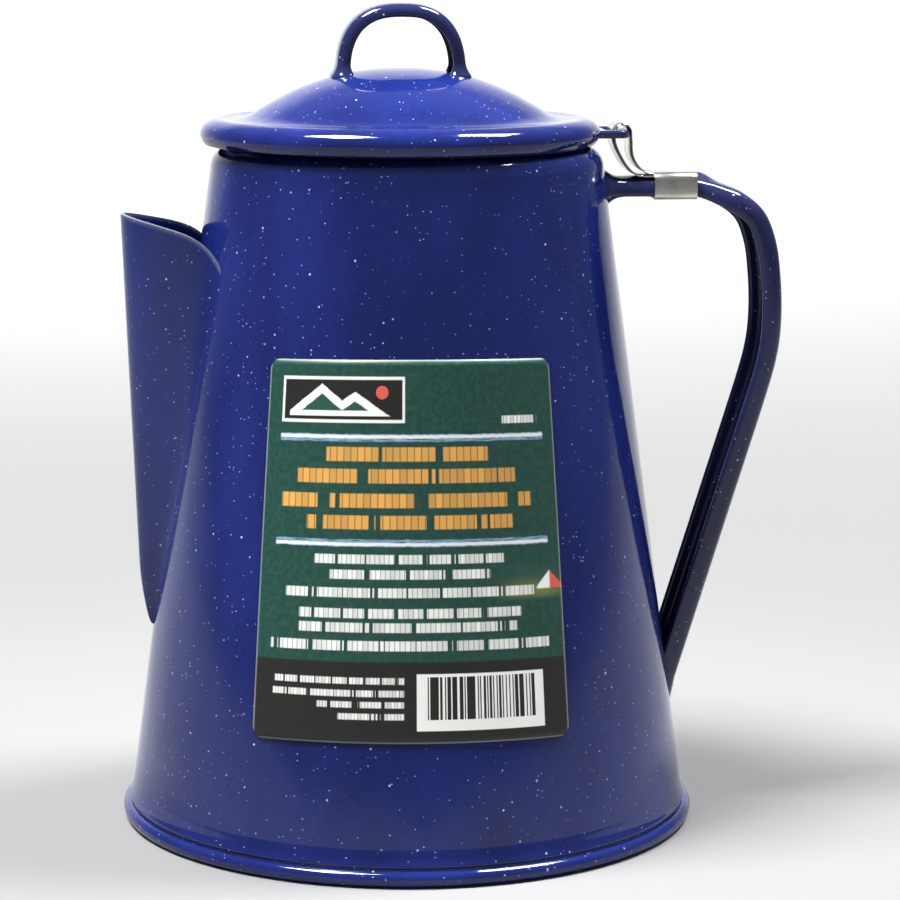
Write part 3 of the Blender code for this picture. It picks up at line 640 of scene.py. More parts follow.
@dataclass
class Workpiece:
    """A bmesh in millimetres on its way to becoming a piece."""

    bm: Any = field(default_factory=bmesh.new)

    @classmethod
    def spun(cls, profile: list[Any], steps: int = 192, centre_x: float = 0.0,
             closed: bool = True) -> Workpiece:
        """Turns a profile of (radius, height) about an upright axis.

        Args:
            profile: the points, as a ring, or open from axis to axis.
            steps: facets round.
            centre_x: where the axis stands.
            closed: whether the last point joins the first.

        Returns:
            The closed shape.
        """
        work = cls()
        verts = [work.bm.verts.new((p[0], 0.0, p[1])) for p in profile]
        edges = [work.bm.edges.new(pair) for pair in zip(verts, verts[1:])]
        if closed:
            edges.append(work.bm.edges.new((verts[-1], verts[0])))
        bmesh.ops.spin(
            work.bm, geom=verts + edges, cent=(0, 0, 0), axis=(0, 0, 1), dvec=(0, 0, 0),
            angle=math.tau, steps=steps, use_merge=True, use_duplicate=False,
        )
        bmesh.ops.remove_doubles(work.bm, verts=work.bm.verts, dist=1e-4)
        bmesh.ops.translate(work.bm, verts=work.bm.verts, vec=(centre_x, 0, 0))
        bmesh.ops.recalc_face_normals(work.bm, faces=work.bm.faces)
        return work

    @classmethod
    def lofted(cls, rings: list[list[Vector]], closed: bool = False) -> Workpiece:
        """Extrudes the first ring of points through the others, and caps both ends unless closed."""
        work = cls()
        first = [work.bm.verts.new(point) for point in rings[0]]
        edges = [work.bm.edges.new(pair) for pair in zip(first, first[1:] + first[:1])]
        ring = first
        for points in rings[1:] + ([rings[0]] if closed else []):
            made = bmesh.ops.extrude_edge_only(work.bm, edges=edges)["geom"]
            fresh = {vert for vert in made if isinstance(vert, bmesh.types.BMVert)}
            edges = [e for e in made if isinstance(e, bmesh.types.BMEdge) and set(e.verts) <= fresh]
            ring = [
                next(e.other_vert(v) for e in v.link_edges if e.other_vert(v) in fresh) for v in ring
            ]
            for vert, point in zip(ring, points):
                vert.co = point
        if not closed:
            work.bm.faces.new(first)
            work.bm.faces.new(ring)
        bmesh.ops.remove_doubles(work.bm, verts=work.bm.verts, dist=1e-4)
        bmesh.ops.recalc_face_normals(work.bm, faces=work.bm.faces)
        return work

    @classmethod
    def sheet(cls, columns: int, rows: int, place: Callable[[float, float], Vector],
              out: Vector, uv: Callable[[Vector], tuple[float, float]] | None = None) -> Workpiece:
        """Bends a flat grid to a surface.

        Args:
            columns: divisions across.
            rows: divisions up.
            place: gives each point from its two shares, -1 to 1 across and 0 to 1 up.
            out: a direction that the faces look along.
            uv: gives a finished point its place in a print, if it has one.

        Returns:
            The open surface.
        """
        work = cls()
        bmesh.ops.create_grid(work.bm, x_segments=columns, y_segments=rows, size=1.0)
        for vert in work.bm.verts:
            vert.co = place(vert.co.x, (vert.co.y + 1) / 2)
        work.bm.normal_update()
        if sum((face.normal * face.calc_area() for face in work.bm.faces), Vector()).dot(out) < 0:
            bmesh.ops.reverse_faces(work.bm, faces=work.bm.faces)
        if uv:
            layer = work.bm.loops.layers.uv.new("label")
            for face in work.bm.faces:
                for loop in face.loops:
                    loop[layer].uv = uv(loop.vert.co)
        return work

    def drill(self, places: list[Vector], radius: float, length: float,
              along_x: bool = False) -> Workpiece:
        """Cuts round holes that don't meet, upright or along X, by a Boolean that is applied at once."""
        cutter = bmesh.new()
        for place in places:
            made = bmesh.ops.create_cone(
                cutter, cap_ends=True, segments=20, radius1=radius, radius2=radius, depth=length,
            )["verts"]
            if along_x:
                bmesh.ops.rotate(
                    cutter, verts=made, matrix=Matrix.Rotation(math.pi / 2, 3, "Y"),
                )
            bmesh.ops.translate(cutter, verts=made, vec=place)
        objects = []
        for name, bm in (("blank", self.bm), ("drills", cutter)):
            mesh = bpy.data.meshes.new(name)
            bm.to_mesh(mesh)
            bm.free()
            objects.append(bpy.data.objects.new(name, mesh))
            bpy.context.scene.collection.objects.link(objects[-1])
        modifier = objects[0].modifiers.new("holes", "BOOLEAN")
        modifier.operation, modifier.solver, modifier.object = "DIFFERENCE", "EXACT", objects[1]
        graph = bpy.context.evaluated_depsgraph_get()
        result = bpy.data.meshes.new_from_object(objects[0].evaluated_get(graph))
        self.bm = bmesh.new()
        self.bm.from_mesh(result)
        for obj in objects:
            bpy.data.objects.remove(obj)
        bpy.data.meshes.remove(result)
        if not self.bm.faces:
            raise RuntimeError("the drills left nothing, because two of them overlap")
        return self

    def publish(self, name: str, material: Any, body: Body, slot: Slot, *nodes: str,
                sheet: float = 0.0, edge: float = 0.0, crease: float = 35.0,
                marks: dict[str, Callable[[Vector], float]] | None = None) -> Any:
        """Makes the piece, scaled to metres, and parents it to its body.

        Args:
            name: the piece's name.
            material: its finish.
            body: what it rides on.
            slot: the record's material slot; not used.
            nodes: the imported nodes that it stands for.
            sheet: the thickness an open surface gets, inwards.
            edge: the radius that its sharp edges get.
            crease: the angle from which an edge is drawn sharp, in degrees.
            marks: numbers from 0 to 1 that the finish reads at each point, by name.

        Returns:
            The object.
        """
        for mark, amount in (marks or {}).items():
            layer = self.bm.verts.layers.float.new(mark)
            for vert in self.bm.verts:
                vert[layer] = amount(vert.co)
        bmesh.ops.scale(self.bm, verts=self.bm.verts, vec=(MM, MM, MM))
        mesh = bpy.data.meshes.new(name)
        self.bm.to_mesh(mesh)
        self.bm.free()
        mesh.materials.append(material)
        obj = bpy.data.objects.new(name, mesh)
        bpy.context.scene.collection.objects.link(obj)
        mesh.shade_smooth()
        mesh.set_sharp_from_angle(angle=math.radians(crease))
        if sheet:
            solid = obj.modifiers.new("sheet", "SOLIDIFY")
            solid.thickness, solid.offset, solid.use_even_offset = sheet * MM, -1.0, True
        if edge:
            bevel = obj.modifiers.new("edge", "BEVEL")
            bevel.width, bevel.segments, bevel.limit_method = edge * MM, 3, "ANGLE"
            bevel.angle_limit, bevel.harden_normals = math.radians(50), False
        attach(obj, body.value)
        if nodes:
            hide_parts(*nodes)
        LOG.info("%s: %d faces on %s", name, len(mesh.polygons), body.value)
        return obj


@dataclass
class Pot:
    """The enamelled pot: wall, folded bottom and open V spout. Sizes are in millimetres."""

    enamel: Any
    sheet: float = 1.0
    foot_radius: float = 78.5
    shoulder_radius: float = 54.2
    shoulder_z: float = 181.0
    shoulder_roll: float = 5.0
    shoulder_rise: float = 6.2
    neck_height: float = 6.1
    seam_radius: float = 2.2
    seam_overhang: float = 2.0
    hole_radius: float = 1.8
    hole_pitch: float = 8.0
    hole_rows: int = 9
    hole_low_z: float = 80.0
    spout_foot_z: float = 54.0
    spout_foot_round: float = 18.0
    spout_tip_z: float = 169.2
    spout_end_z: float = 157.4
    spout_foot_reach: float = 2.9
    spout_tip_reach: float = 23.0
    spout_half_width: float = 21.3
    spout_taper: float = 0.8
    spout_sheet: float = 0.9
    spout_fillet: float = 9.0
    rim_fall: float = 6.2
    rim_drop: float = 5.6
    rim_drop_power: float = 7.0

    def wall_radius(self, z: float) -> float:
        """The wall's outer radius at a height."""
        return self.foot_radius + (self.shoulder_radius - self.foot_radius) * z / self.shoulder_z

    def half_width(self, z: float) -> float:
        """Half the spout's width where it meets the wall."""
        share = (z - self.spout_foot_z) / (self.spout_end_z - self.spout_foot_z)
        return self.spout_half_width * max(share, 0.002) ** self.spout_taper

    def reach(self, z: float) -> float:
        """How far the spout's keel stands from the wall."""
        share = (z - self.spout_foot_z) / (self.spout_tip_z - self.spout_foot_z)
        straight = self.spout_foot_reach + (self.spout_tip_reach - self.spout_foot_reach) * share
        bend = min(max((z - self.spout_foot_z) / self.spout_foot_round, 0.0), 1.0)
        return straight * math.sqrt(1 - (1 - bend) ** 2)

    def make_wall(self) -> None:
        """Spins the wall with its rolled shoulder and neck, and drills the strainer."""
        neck = self.shoulder_radius - self.shoulder_roll
        top = self.shoulder_z + self.shoulder_rise + self.neck_height
        low = self.seam_radius + self.sheet / 2
        outer = [Vector((self.wall_radius(low) - 0.1, low))]
        outer += [Vector((self.wall_radius(z), z)) for z in range(10, int(self.shoulder_z), 6)]
        for step in range(15):
            angle = math.pi / 2 * step / 14
            outer.append(Vector((
                neck + self.shoulder_roll * math.cos(angle),
                self.shoulder_z + self.shoulder_rise * math.sin(angle),
            )))
        outer += [Vector((neck, top - 0.6)), Vector((neck - 0.15, top - 0.2)), Vector((neck - 0.5, top))]
        inner = offset_line(outer, -self.sheet)
        inner[-1] = Vector((neck - self.sheet, top - 0.6))
        inner.insert(-1, Vector((neck - self.sheet, top - 1.2)))
        inner.append(Vector((neck - self.sheet + 0.15, top - 0.2)))
        wall = Workpiece.spun(outer + inner[::-1], 224)
        holes = []
        for row in range(self.hole_rows):
            z = self.hole_low_z + row * self.hole_pitch
            room = self.half_width(z) - 2 * self.hole_radius
            columns = int(2 * room / self.hole_pitch) + 1
            columns = max(columns - (columns + row) % 2, 1)
            for column in range(columns):
                y = (column - (columns - 1) / 2) * self.hole_pitch
                holes.append(Vector((-math.sqrt(self.wall_radius(z) ** 2 - y * y), y, z)))
        wall.drill(holes, self.hole_radius, 8.0, along_x=True)
        wall.publish(
            "pot_wall", self.enamel, Body.POT, Slot.ENAMEL, "body_shell",
            marks={"thin_edge": lambda p: ease(p.z, top - 1.0, top)},
        )

    def make_bottom(self) -> None:
        """Spins the bottom with its stepped underside, and the round fold that runs into the wall."""
        foot = self.wall_radius(self.seam_radius)
        centre = foot + self.seam_overhang - self.seam_radius
        line = [Vector(p) for p in ((0, 0.5), (50, 0.5), (51.5, 0.35), (53, 0.0), (66, 0.0))]
        for step in range(15):
            angle = -math.pi / 2 + math.radians(208) * step / 14
            line.append(Vector((
                centre + self.seam_radius * math.cos(angle),
                self.seam_radius + self.seam_radius * math.sin(angle),
            )))
        last = line[-1]
        settle = [
            last, Vector((self.wall_radius(5.2) + 0.42, 5.2)), Vector((self.wall_radius(7.0) + 0.16, 7.0)),
            Vector((self.wall_radius(9.4) + 0.02, 9.4)), Vector((self.wall_radius(11.0) - 0.15, 11.0)),
        ]
        line = line[:-1] + smooth_line(settle, 4)
        line += [Vector(p) for p in (
            (self.wall_radius(11.0) - 0.7, 10.6), (self.wall_radius(3.0) - 0.6, 3.0),
            (self.wall_radius(2.0) - 1.6, 1.6), (foot - 4.0, 1.0), (53.4, 1.0), (51.5, 1.3), (50, 1.5),
            (0, 1.5),
        )]
        bottom = Workpiece.spun(line, 224, closed=False)
        bottom.publish("folded_bottom", self.enamel, Body.POT, Slot.ENAMEL, "base_pan", crease=50.0)

    def rim_height(self, x: float) -> float:
        """The height of the spout's rim at a distance from the axis."""
        tip = -(self.wall_radius(self.spout_tip_z) + self.spout_tip_reach)
        end = -math.sqrt(self.wall_radius(self.spout_end_z) ** 2 - self.spout_half_width ** 2)
        share = min(max((x - tip) / (end - tip), 0.0), 1.08)
        return self.spout_tip_z - self.rim_fall * share - self.rim_drop * share ** self.rim_drop_power

    def spout_point(self, across: float, z: float) -> Vector:
        """A point of the spout's outer skin, blended into the wall through a hollow fillet."""
        radius, reach, half = self.wall_radius(z), self.reach(z), self.half_width(z)
        y = across * (half + 2.0 + 4.0 * ease(z, self.spout_foot_z, self.spout_foot_z + 60))
        wall = math.sqrt(radius ** 2 - y * y)
        sharp = (radius + reach - math.sqrt(radius ** 2 - half ** 2)) / half ** 2
        keel = radius + reach - sharp * y * y
        blended = smooth_max(wall, keel, min(self.spout_fillet, 1.1 * reach))
        sink = 0.22 * (1 - min((blended - wall) / 0.35, 1.0))
        return Vector((-(blended - sink), y, z))

    def make_spout(self) -> None:
        """Bends a sheet into the V, up to its curved rim."""
        def place(across: float, up: float) -> Vector:
            """Finds the rim above a share across, then the height below it."""
            share = math.copysign(abs(across) ** 1.25, across)
            top = self.spout_tip_z
            for _ in range(24):
                top = 0.5 * top + 0.5 * self.rim_height(self.spout_point(share, top).x)
            return self.spout_point(share, self.spout_foot_z + (top - self.spout_foot_z) * up ** 1.3)

        def thin(point: Vector) -> float:
            """Thin enamel along the rim."""
            return ease(point.z - self.rim_height(point.x), -0.75, -0.1)

        spout = Workpiece.sheet(72, 110, place, Vector((-1, 0, 0)))
        spout.publish(
            "v_spout", self.enamel, Body.POT, Slot.ENAMEL, "spout", sheet=self.spout_sheet, edge=0.32,
            crease=60.0, marks={"thin_edge": thin},
        )

    def make(self) -> None:
        """Makes the pot's three pieces."""
        self.make_wall()
        self.make_bottom()
        self.make_spout()


@dataclass
class StrapHandle:
    """The big handle: a channel of strap that runs level, then round and down to a pointed foot."""
    # the darker copy of the enamel, painted shade

    enamel: Any
    pot: Pot
    sheet: float = 1.3
    top_z: float = 178.1
    grip_start: float = 79.9
    line: tuple[tuple[float, float], ...] = (
        (31.3, 4.6), (37.9, 7.4), (43.0, 12.6), (45.2, 20.8), (45.3, 31.0), (44.2, 42.0), (41.9, 52.0),
        (37.2, 64.0),
    )
    foot_z: float = 33.0
    root_width: float = 15.5
    grip_width: float = 20.5
    root_depth: float = 5.0
    grip_depth: float = 6.0
    corner: float = 2.7
    crown: float = 0.35
    hump: tuple[float, float, float] = (1.25, 1.6, 3.2)  # height, distance past the grip's start, width
    sink: float = 0.5
    stops: tuple[float, ...] = (0.0, 0.5, 1.1, 1.9, 3.0, 4.6, 8.0, 14.0, 20.0)  # from the wall
    foot_shares: tuple[float, ...] = (0.25, 0.5, 0.7, 0.85, 0.93, 0.97, 0.99)
    root_fillet: tuple[float, float] = (2.2, 4.6)  # height and reach
    foot_fillet: tuple[float, float] = (1.1, 4.0)

    def section(self, width: float, depth: float, crown: float, grow: float) -> Line:
        """The channel's closed outline across the strap, grown by an enamel fillet."""
        half, mid = width / 2 - self.sheet / 2, self.sheet / 2
        quarter = []
        for step in range(5):
            angle = math.pi / 2 * step / 4
            quarter.append(Vector((
                -half + self.corner * (1 - math.cos(angle)), mid + self.corner * (1 - math.sin(angle)),
            )))
        left = [Vector((-half, depth - mid)), Vector((-half, (depth + self.corner) / 2)), *quarter]
        web = []
        for step in range(1, 6):
            y = quarter[-1].x * (1 - step / 3)
            web.append(Vector((y, mid - crown * (1 - (y / quarter[-1].x) ** 2))))
        path = left + web + [Vector((-p.x, p.y)) for p in left[::-1]]
        outline = stadium(path, self.sheet)
        return offset_line(outline, grow, closed=True) if grow else outline

    def land(self, point: Vector, along: Vector) -> Vector:
        """Slides a point along a direction until it lies inside the pot's wall."""
        for _ in range(12):
            away = math.hypot(point.x, point.y) - (self.pot.wall_radius(point.z) - self.sink)
            closing = (along.x * point.x + along.y * point.y) / math.hypot(point.x, point.y)
            closing -= along.z * (self.pot.shoulder_radius - self.pot.foot_radius) / self.pot.shoulder_z
            point = point - along * (away / closing)
        return point

    def rise(self, point: Vector) -> float:
        """How far the web bulges at the start of the grip."""
        height, past, width = self.hump
        if point.x < self.grip_start or point.y < self.top_z - 8.0:
            return self.crown
        return self.crown + height * math.exp(-((point.x - self.grip_start - past) / width) ** 2)

    def make(self) -> None:
        """Sweeps the channel and runs both ends into the wall."""
        pot, turn_z = self.pot, self.pot.shoulder_z
        curve = [(self.grip_start, self.top_z)]
        curve += [(pot.wall_radius(turn_z - drop) + reach, turn_z - drop) for reach, drop in self.line]
        foot = Vector((pot.wall_radius(self.foot_z), self.foot_z))
        root_x = pot.wall_radius(self.top_z)
        line = [Vector((root_x + stop, self.top_z)) for stop in self.stops]
        line += smooth_line([*curve, tuple(Vector(curve[-1]).lerp(foot, 0.3))], 9)
        line += [line[-1].lerp(foot, share) for share in self.foot_shares]
        last = len(line) - 1
        rings = []
        for i, point in enumerate(line):
            along = (line[min(i + 1, last)] - line[max(i - 1, 0)]).normalized()
            inward = Vector((along.y, 0, -along.x))
            level = point.y >= self.top_z - 6
            share = ease(point.x, self.grip_start, self.grip_start + 13) if level else 1.0
            width = self.root_width + (self.grip_width - self.root_width) * share
            depth = self.root_depth + (self.grip_depth - self.root_depth) * share
            grow = 0.0
            if i < len(self.stops):
                height, reach = self.root_fillet
                grow = height * max(1 - (point.x - root_x) / reach, 0.0) ** 2
            elif i > last - 8:
                height, reach = self.foot_fillet
                grow = height * max(1 - (foot - point).length / reach, 0.0) ** 2
            outline = self.section(width, depth, self.rise(point), grow)
            place = Vector((point.x, 0, point.y))
            ring = [place + Vector((0, p.x, 0)) + inward * p.y for p in outline]
            if i in (0, last):
                ring = [self.land(p, Vector((along.x, 0, along.y))) for p in ring]
            rings.append(ring)
        strap = Workpiece.lofted(rings)
        strap.publish("strap_handle", self.enamel, Body.POT, Slot.ENAMEL, "handle", crease=55.0)


@dataclass
class HingeClip:
    """The spring clip: a band round the handle's root and a tongue through the lid's eye."""

    steel: Any
    hinge: Vector
    band_start: float = 67.6
    band_length: float = 12.0
    band_sheet: float = 0.6
    strip: float = 0.5
    gap: float = 0.3
    top_z: float = 178.1
    root_width: float = 15.5
    root_depth: float = 5.0
    tongue_width: float = 13.4

    def make_band(self) -> None:
        """Lofts the band along the handle, its edges rounded."""
        half = self.root_width / 2 + self.gap + self.band_sheet
        roof = self.top_z + 2 * self.gap + self.strip + self.band_sheet
        floor = self.top_z - self.root_depth - self.gap - self.band_sheet
        outline = round_corners([
            (half, roof, 2.6), (0.0, roof + 0.12, 0.0), (-half, roof, 2.6),
            (-half, floor, 1.7), (0.0, floor - 0.02, 0.0), (half, floor, 1.7),
        ], 7)
        thick, soft = self.band_sheet, 0.16
        start, end = self.band_start, self.band_start + self.band_length
        rings = []
        for x, inset in (
            (start + soft, 0.0), (end - soft, 0.0), (end - 0.05, 0.05), (end, soft),
            (end, thick - soft), (end - 0.05, thick - 0.05), (end - soft, thick),
            (start + soft, thick), (start + 0.05, thick - 0.05), (start, thick - soft),
            (start, soft), (start + 0.05, 0.05),
        ):
            points = offset_line(outline, -inset, closed=True) if inset else outline
            rings.append([Vector((x, p.x, p.y)) for p in points])
        band = Workpiece.lofted(rings, closed=True)
        band.publish("clip_band", self.steel, Body.POT, Slot.STEEL, "hinge_clip", crease=50.0)

    def make_tongue(self) -> None:
        """Sweeps the tongue out of the band, up through the eye and back down."""
        x, z, start = self.hinge.x, self.hinge.z, self.band_start
        tucked = self.top_z + self.gap + self.strip / 2
        fixed = self.top_z + 2 * self.gap + self.strip + self.band_sheet / 2
        path = smooth_line([
            (start + 1.5, fixed), (start - 1.2, fixed), (x + 4.4, fixed + 1.6), (x + 2.5, z - 6.0),
            (x + 2.1, z - 1.6), (x + 1.8, z + 1.2), (x + 0.2, z + 2.6), (x - 1.8, z + 2.0),
            (x - 2.6, z - 0.2), (x - 2.1, z - 3.4), (x + 0.4, z - 8.2), (x + 3.0, tucked + 0.8),
            (x + 5.6, tucked), (start + 3.0, tucked),
        ], 7)
        half, thin = self.tongue_width / 2, self.strip / 2
        rings = []
        for i, point in enumerate(path):
            along = (path[min(i + 1, len(path) - 1)] - path[max(i - 1, 0)]).normalized()
            normal = Vector((along.y, 0, -along.x))
            place = Vector((point.x, 0, point.y))
            ring = []
            for y, n in ((-half + 0.2, -thin), (half - 0.2, -thin), (half, -thin * 0.3), (half, thin * 0.3),
                         (half - 0.2, thin), (-half + 0.2, thin), (-half, thin * 0.3), (-half, -thin * 0.3)):
                ring.append(place + Vector((0, y, 0)) + normal * n)
            rings.append(ring)
        tongue = Workpiece.lofted(rings)
        tongue.publish("clip_tongue", self.steel, Body.POT, Slot.STEEL, "hinge_clip", crease=50.0)

    def make(self) -> None:
        """Makes both pieces."""
        self.make_band()
        self.make_tongue()


@dataclass
class Label:
    """The paper label on the pot's side. Angles are in degrees round the pot."""

    paper: Any
    pot: Pot
    low_z: float = 37.4
    height: float = 98.8
    middle: float = -94.5
    top_half: float = 36.6
    low_half: float = 34.3
    lift: float = 0.5
    thickness: float = 0.18
    corner: float = 2.8
    droop: float = 1.2

    def spread(self, z: float) -> float:
        """Half the label's angle at a height."""
        return self.low_half + (self.top_half - self.low_half) * (z - self.low_z) / self.height

    def place(self, across: float, up: float) -> Vector:
        """A point of the label, with the corners drawn in by their radius."""
        middle = self.pot.wall_radius(self.low_z + self.height / 2)
        turn = math.degrees(self.corner / middle) / self.low_half
        share = math.copysign(1 - (1 - abs(across)) ** 1.6, across)
        into = max(turn - (1 - abs(share)), 0.0) / turn
        cut = self.corner * (1 - math.sqrt(max(1 - into * into, 0.0)))
        level = self.low_z + cut + (self.height - 2 * cut) * up
        angle = math.radians(self.middle + share * self.spread(level))
        z = level - self.droop * share ** 2
        radius = self.pot.wall_radius(z) + self.lift
        return Vector((radius * math.cos(angle), radius * math.sin(angle), z))

    def print_place(self, point: Vector) -> tuple[float, float]:
        """Where a point lies on the print, as shares across and up."""
        turn = math.degrees(math.atan2(point.y, point.x)) - self.middle
        share = turn / self.spread(point.z)
        return 0.5 + 0.5 * share, (point.z + self.droop * share ** 2 - self.low_z) / self.height

    def make(self) -> None:
        """Bends the paper round the wall."""
        paper = Workpiece.sheet(96, 60, self.place, Vector((0, -1, 0)), self.print_place)
        paper.publish(
            "paper_label", self.paper, Body.POT, Slot.PAPER, "label", sheet=self.thickness, crease=60.0,
        )


@dataclass
class Lid:
    """The hinged lid: domed cover, guide ring, strap loop and flat eye."""

    enamel: Any
    # the darker copy of the enamel, painted shade, for the loop and the eye
    painted_shade_enamel: Any
    hinge: Vector
    sheet: float = 1.0
    ledge_z: float = 194.6
    radius: float = 54.9
    shift: float = 1.9
    dome_inset: float = 12.4
    dome_height: float = 13.8
    dome_power: float = 2.2
    ring_radius: float = 45.7
    ring_depth: float = 13.0
    ring_taper: float = 0.8
    loop_half: float = 17.7
    loop_rise: float = 20.1
    loop_power: float = 2.5
    loop_width: float = 14.0
    loop_depth: float = 3.6
    loop_sheet: float = 1.3
    loop_corner: float = 1.7
    loop_crown: float = 0.25
    loop_fillet: tuple[float, float] = (1.5, 3.6)  # height and reach
    loop_foot: float = 2.6  # how far the loop's line starts below the dome's top
    loop_sink: float = 0.6
    loop_steps: int = 64
    eye_bar: float = 1.1
    eye_half: float = 7.3
    eye_side: float = 3.2
    eye_hole: float = 3.5

    def dome_z(self, away: float) -> float:
        """The dome's outer height at a distance from the lid's axis."""
        foot = self.radius - self.dome_inset
        return self.ledge_z + self.dome_height * (1 - min(away / foot, 1.0) ** self.dome_power)

    def make_cover(self) -> None:
        """Spins the cover from dome to rolled lip."""
        foot = self.radius - self.dome_inset
        line = [Vector((foot * s / 20, self.dome_z(foot * s / 20))) for s in range(19)]
        r, z = self.radius, self.ledge_z
        line += smooth_line([
            (foot * 0.95, self.dome_z(foot * 0.95)), (foot - 0.8, z + 0.85), (foot + 1.2, z + 0.25),
            (foot + 4.0, z), (r - 4.6, z + 0.25), (r - 2.1, z - 0.6), (r - 0.6, z - 2.0), (r, z - 3.8),
            (r - 0.3, z - 5.3), (r - 1.1, z - 6.6),
        ], 5)
        inner = offset_line(line, self.sheet)
        inner[0].x = 0.0
        tip = line[-1].lerp(inner[-1], 0.5) + Vector((-0.25, -0.45))
        cover = Workpiece.spun([*line, tip, *inner[::-1]], 224, -self.shift, closed=False)
        cover.publish(
            "lid_cover", self.enamel, Body.LID, Slot.ENAMEL, "lid_shell", crease=60.0,
        )

    def make_ring(self) -> None:
        """Spins the guide ring that hangs in the pot's neck."""
        top, r, t = self.ledge_z - self.sheet - 0.3, self.ring_radius, self.sheet
        low = top - self.ring_depth
        profile = round_corners([
            (r, top, 0.8), (r - self.ring_taper, low, 0.48), (r - self.ring_taper - t, low, 0.48),
            (r - t, top - t, 0.2), (r - t - 1.6, top - t, 0.2), (r - t - 1.6, top, 0.2),
        ], 4)
        ring = Workpiece.spun(profile, 160, -self.shift)
        ring.publish(
            "lid_guide_ring", self.enamel, Body.LID, Slot.ENAMEL, "lid_skirt", crease=50.0,
            marks={"thin_edge": lambda p: 1 - ease(p.z, low + 0.2, low + 1.2)},
        )

    def foot_root(self, point: Vector) -> Vector:
        """The point above or below this one that lies just under the dome's outer face."""
        away = math.hypot(point.x + self.shift, point.y)
        return Vector((point.x, point.y, self.dome_z(away) - self.loop_sink))

    def loop_section(self, above: float) -> Line:
        """The loop's closed outline across the strap, at a height above the dome."""
        half, mid = (self.loop_width - self.loop_sheet) / 2, self.loop_sheet / 2
        arc = [Vector((-half, self.loop_depth - mid))]
        for step in range(6):
            angle = math.pi / 2 * step / 5
            arc.append(Vector((
                -half + self.loop_corner * (1 - math.cos(angle)),
                mid + self.loop_corner * (1 - math.sin(angle)),
            )))
        crown = [
            Vector((y, mid - self.loop_crown * (1 - (y / arc[-1].x) ** 2)))
            for y in (-3.2, -1.6, 0.0, 1.6, 3.2)
        ]
        outline = stadium(arc + crown + [Vector((-p.x, p.y)) for p in arc[::-1]], self.loop_sheet)
        height, reach = self.loop_fillet
        grow = height * max(1 - max(above, 0.0) / reach, 0.0) ** 2
        return offset_line(outline, grow, closed=True) if grow > 0.01 else outline

    def make_loop(self) -> None:
        """Sweeps the strap loop, its feet run into the dome through enamel fillets."""
        foot_z = self.ledge_z + self.dome_height - self.loop_foot
        path = []
        for step in range(self.loop_steps + 1):
            angle = math.pi * (1 - math.cos(math.pi * step / self.loop_steps)) / 2
            across = math.copysign(abs(math.cos(angle)) ** (2 / self.loop_power), math.cos(angle))
            up = abs(math.sin(angle)) ** (2 / self.loop_power)
            path.append(Vector((-self.shift - across * self.loop_half, foot_z + up * self.loop_rise)))
        last = len(path) - 1
        rings = []
        for i, point in enumerate(path):
            along = (path[min(i + 1, last)] - path[max(i - 1, 0)]).normalized()
            inward = Vector((along.y, 0, -along.x))
            place = Vector((point.x, 0, point.y))
            outline = self.loop_section(point.y - self.dome_z(abs(point.x + self.shift)))
            ring = [place + Vector((0, p.x, 0)) + inward * p.y for p in outline]
            for corner in ring:
                lowest = self.foot_root(corner).z + 0.02 * (1 + min(i, last - i))
                corner.z = max(corner.z, lowest)
            rings.append(ring)
        rings.insert(0, [self.foot_root(point) for point in rings[0]])
        rings.append([self.foot_root(point) for point in rings[-1]])
        loop = Workpiece.lofted(rings)
        loop.publish("lid_loop", self.painted_shade_enamel, Body.LID, Slot.ENAMEL, "lid_handle", crease=55.0)

    def make_eye(self) -> None:
        """Lofts the flat eye round its slot and lands it in the lid's flange."""
        x, z, bar = self.hinge.x, self.hinge.z, self.eye_bar
        slot_end, slot_start = x - bar, x - bar - self.eye_hole
        side, root = self.eye_half + self.eye_side, slot_start - 6
        outer = round_corners([
            (x + bar, side, 2.6), (root, side, 0.3), (root, -side, 0.3), (x + bar, -side, 2.6),
        ], 8)
        inner = round_corners([
            (slot_end, self.eye_half, 0.7), (slot_start, self.eye_half, 0.7),
            (slot_start, -self.eye_half, 0.7), (slot_end, -self.eye_half, 0.7),
        ], 8)
        soft, rings = 0.75, []
        for points, way in ((outer, 1), (inner, -1)):
            for step in range(7):
                angle = math.pi / 2 - math.pi * step / 6
                inset = soft * (1 - math.cos(angle))
                level = (bar - soft) * (1 if angle > 0 else -1) + soft * math.sin(angle)
                if abs(angle) < 1e-6:
                    level = 0.0
                placed = offset_line(points, -inset * way, closed=True)
                rings.append([Vector((p.x, p.y, z + way * level)) for p in placed])
        flange = self.radius - 0.5
        for ring in rings:
            for point in ring:
                landed = -self.shift + math.sqrt(flange ** 2 - point.y ** 2)
                point.x = max(point.x, landed)
        eye = Workpiece.lofted(rings, closed=True)
        eye.publish("lid_eye_plate", self.painted_shade_enamel, Body.LID, Slot.ENAMEL, "lid_eye", crease=50.0)

    def make(self) -> None:
        """Makes the lid's four pieces."""
        self.make_cover()
        self.make_ring()
        self.make_loop()
        self.make_eye()


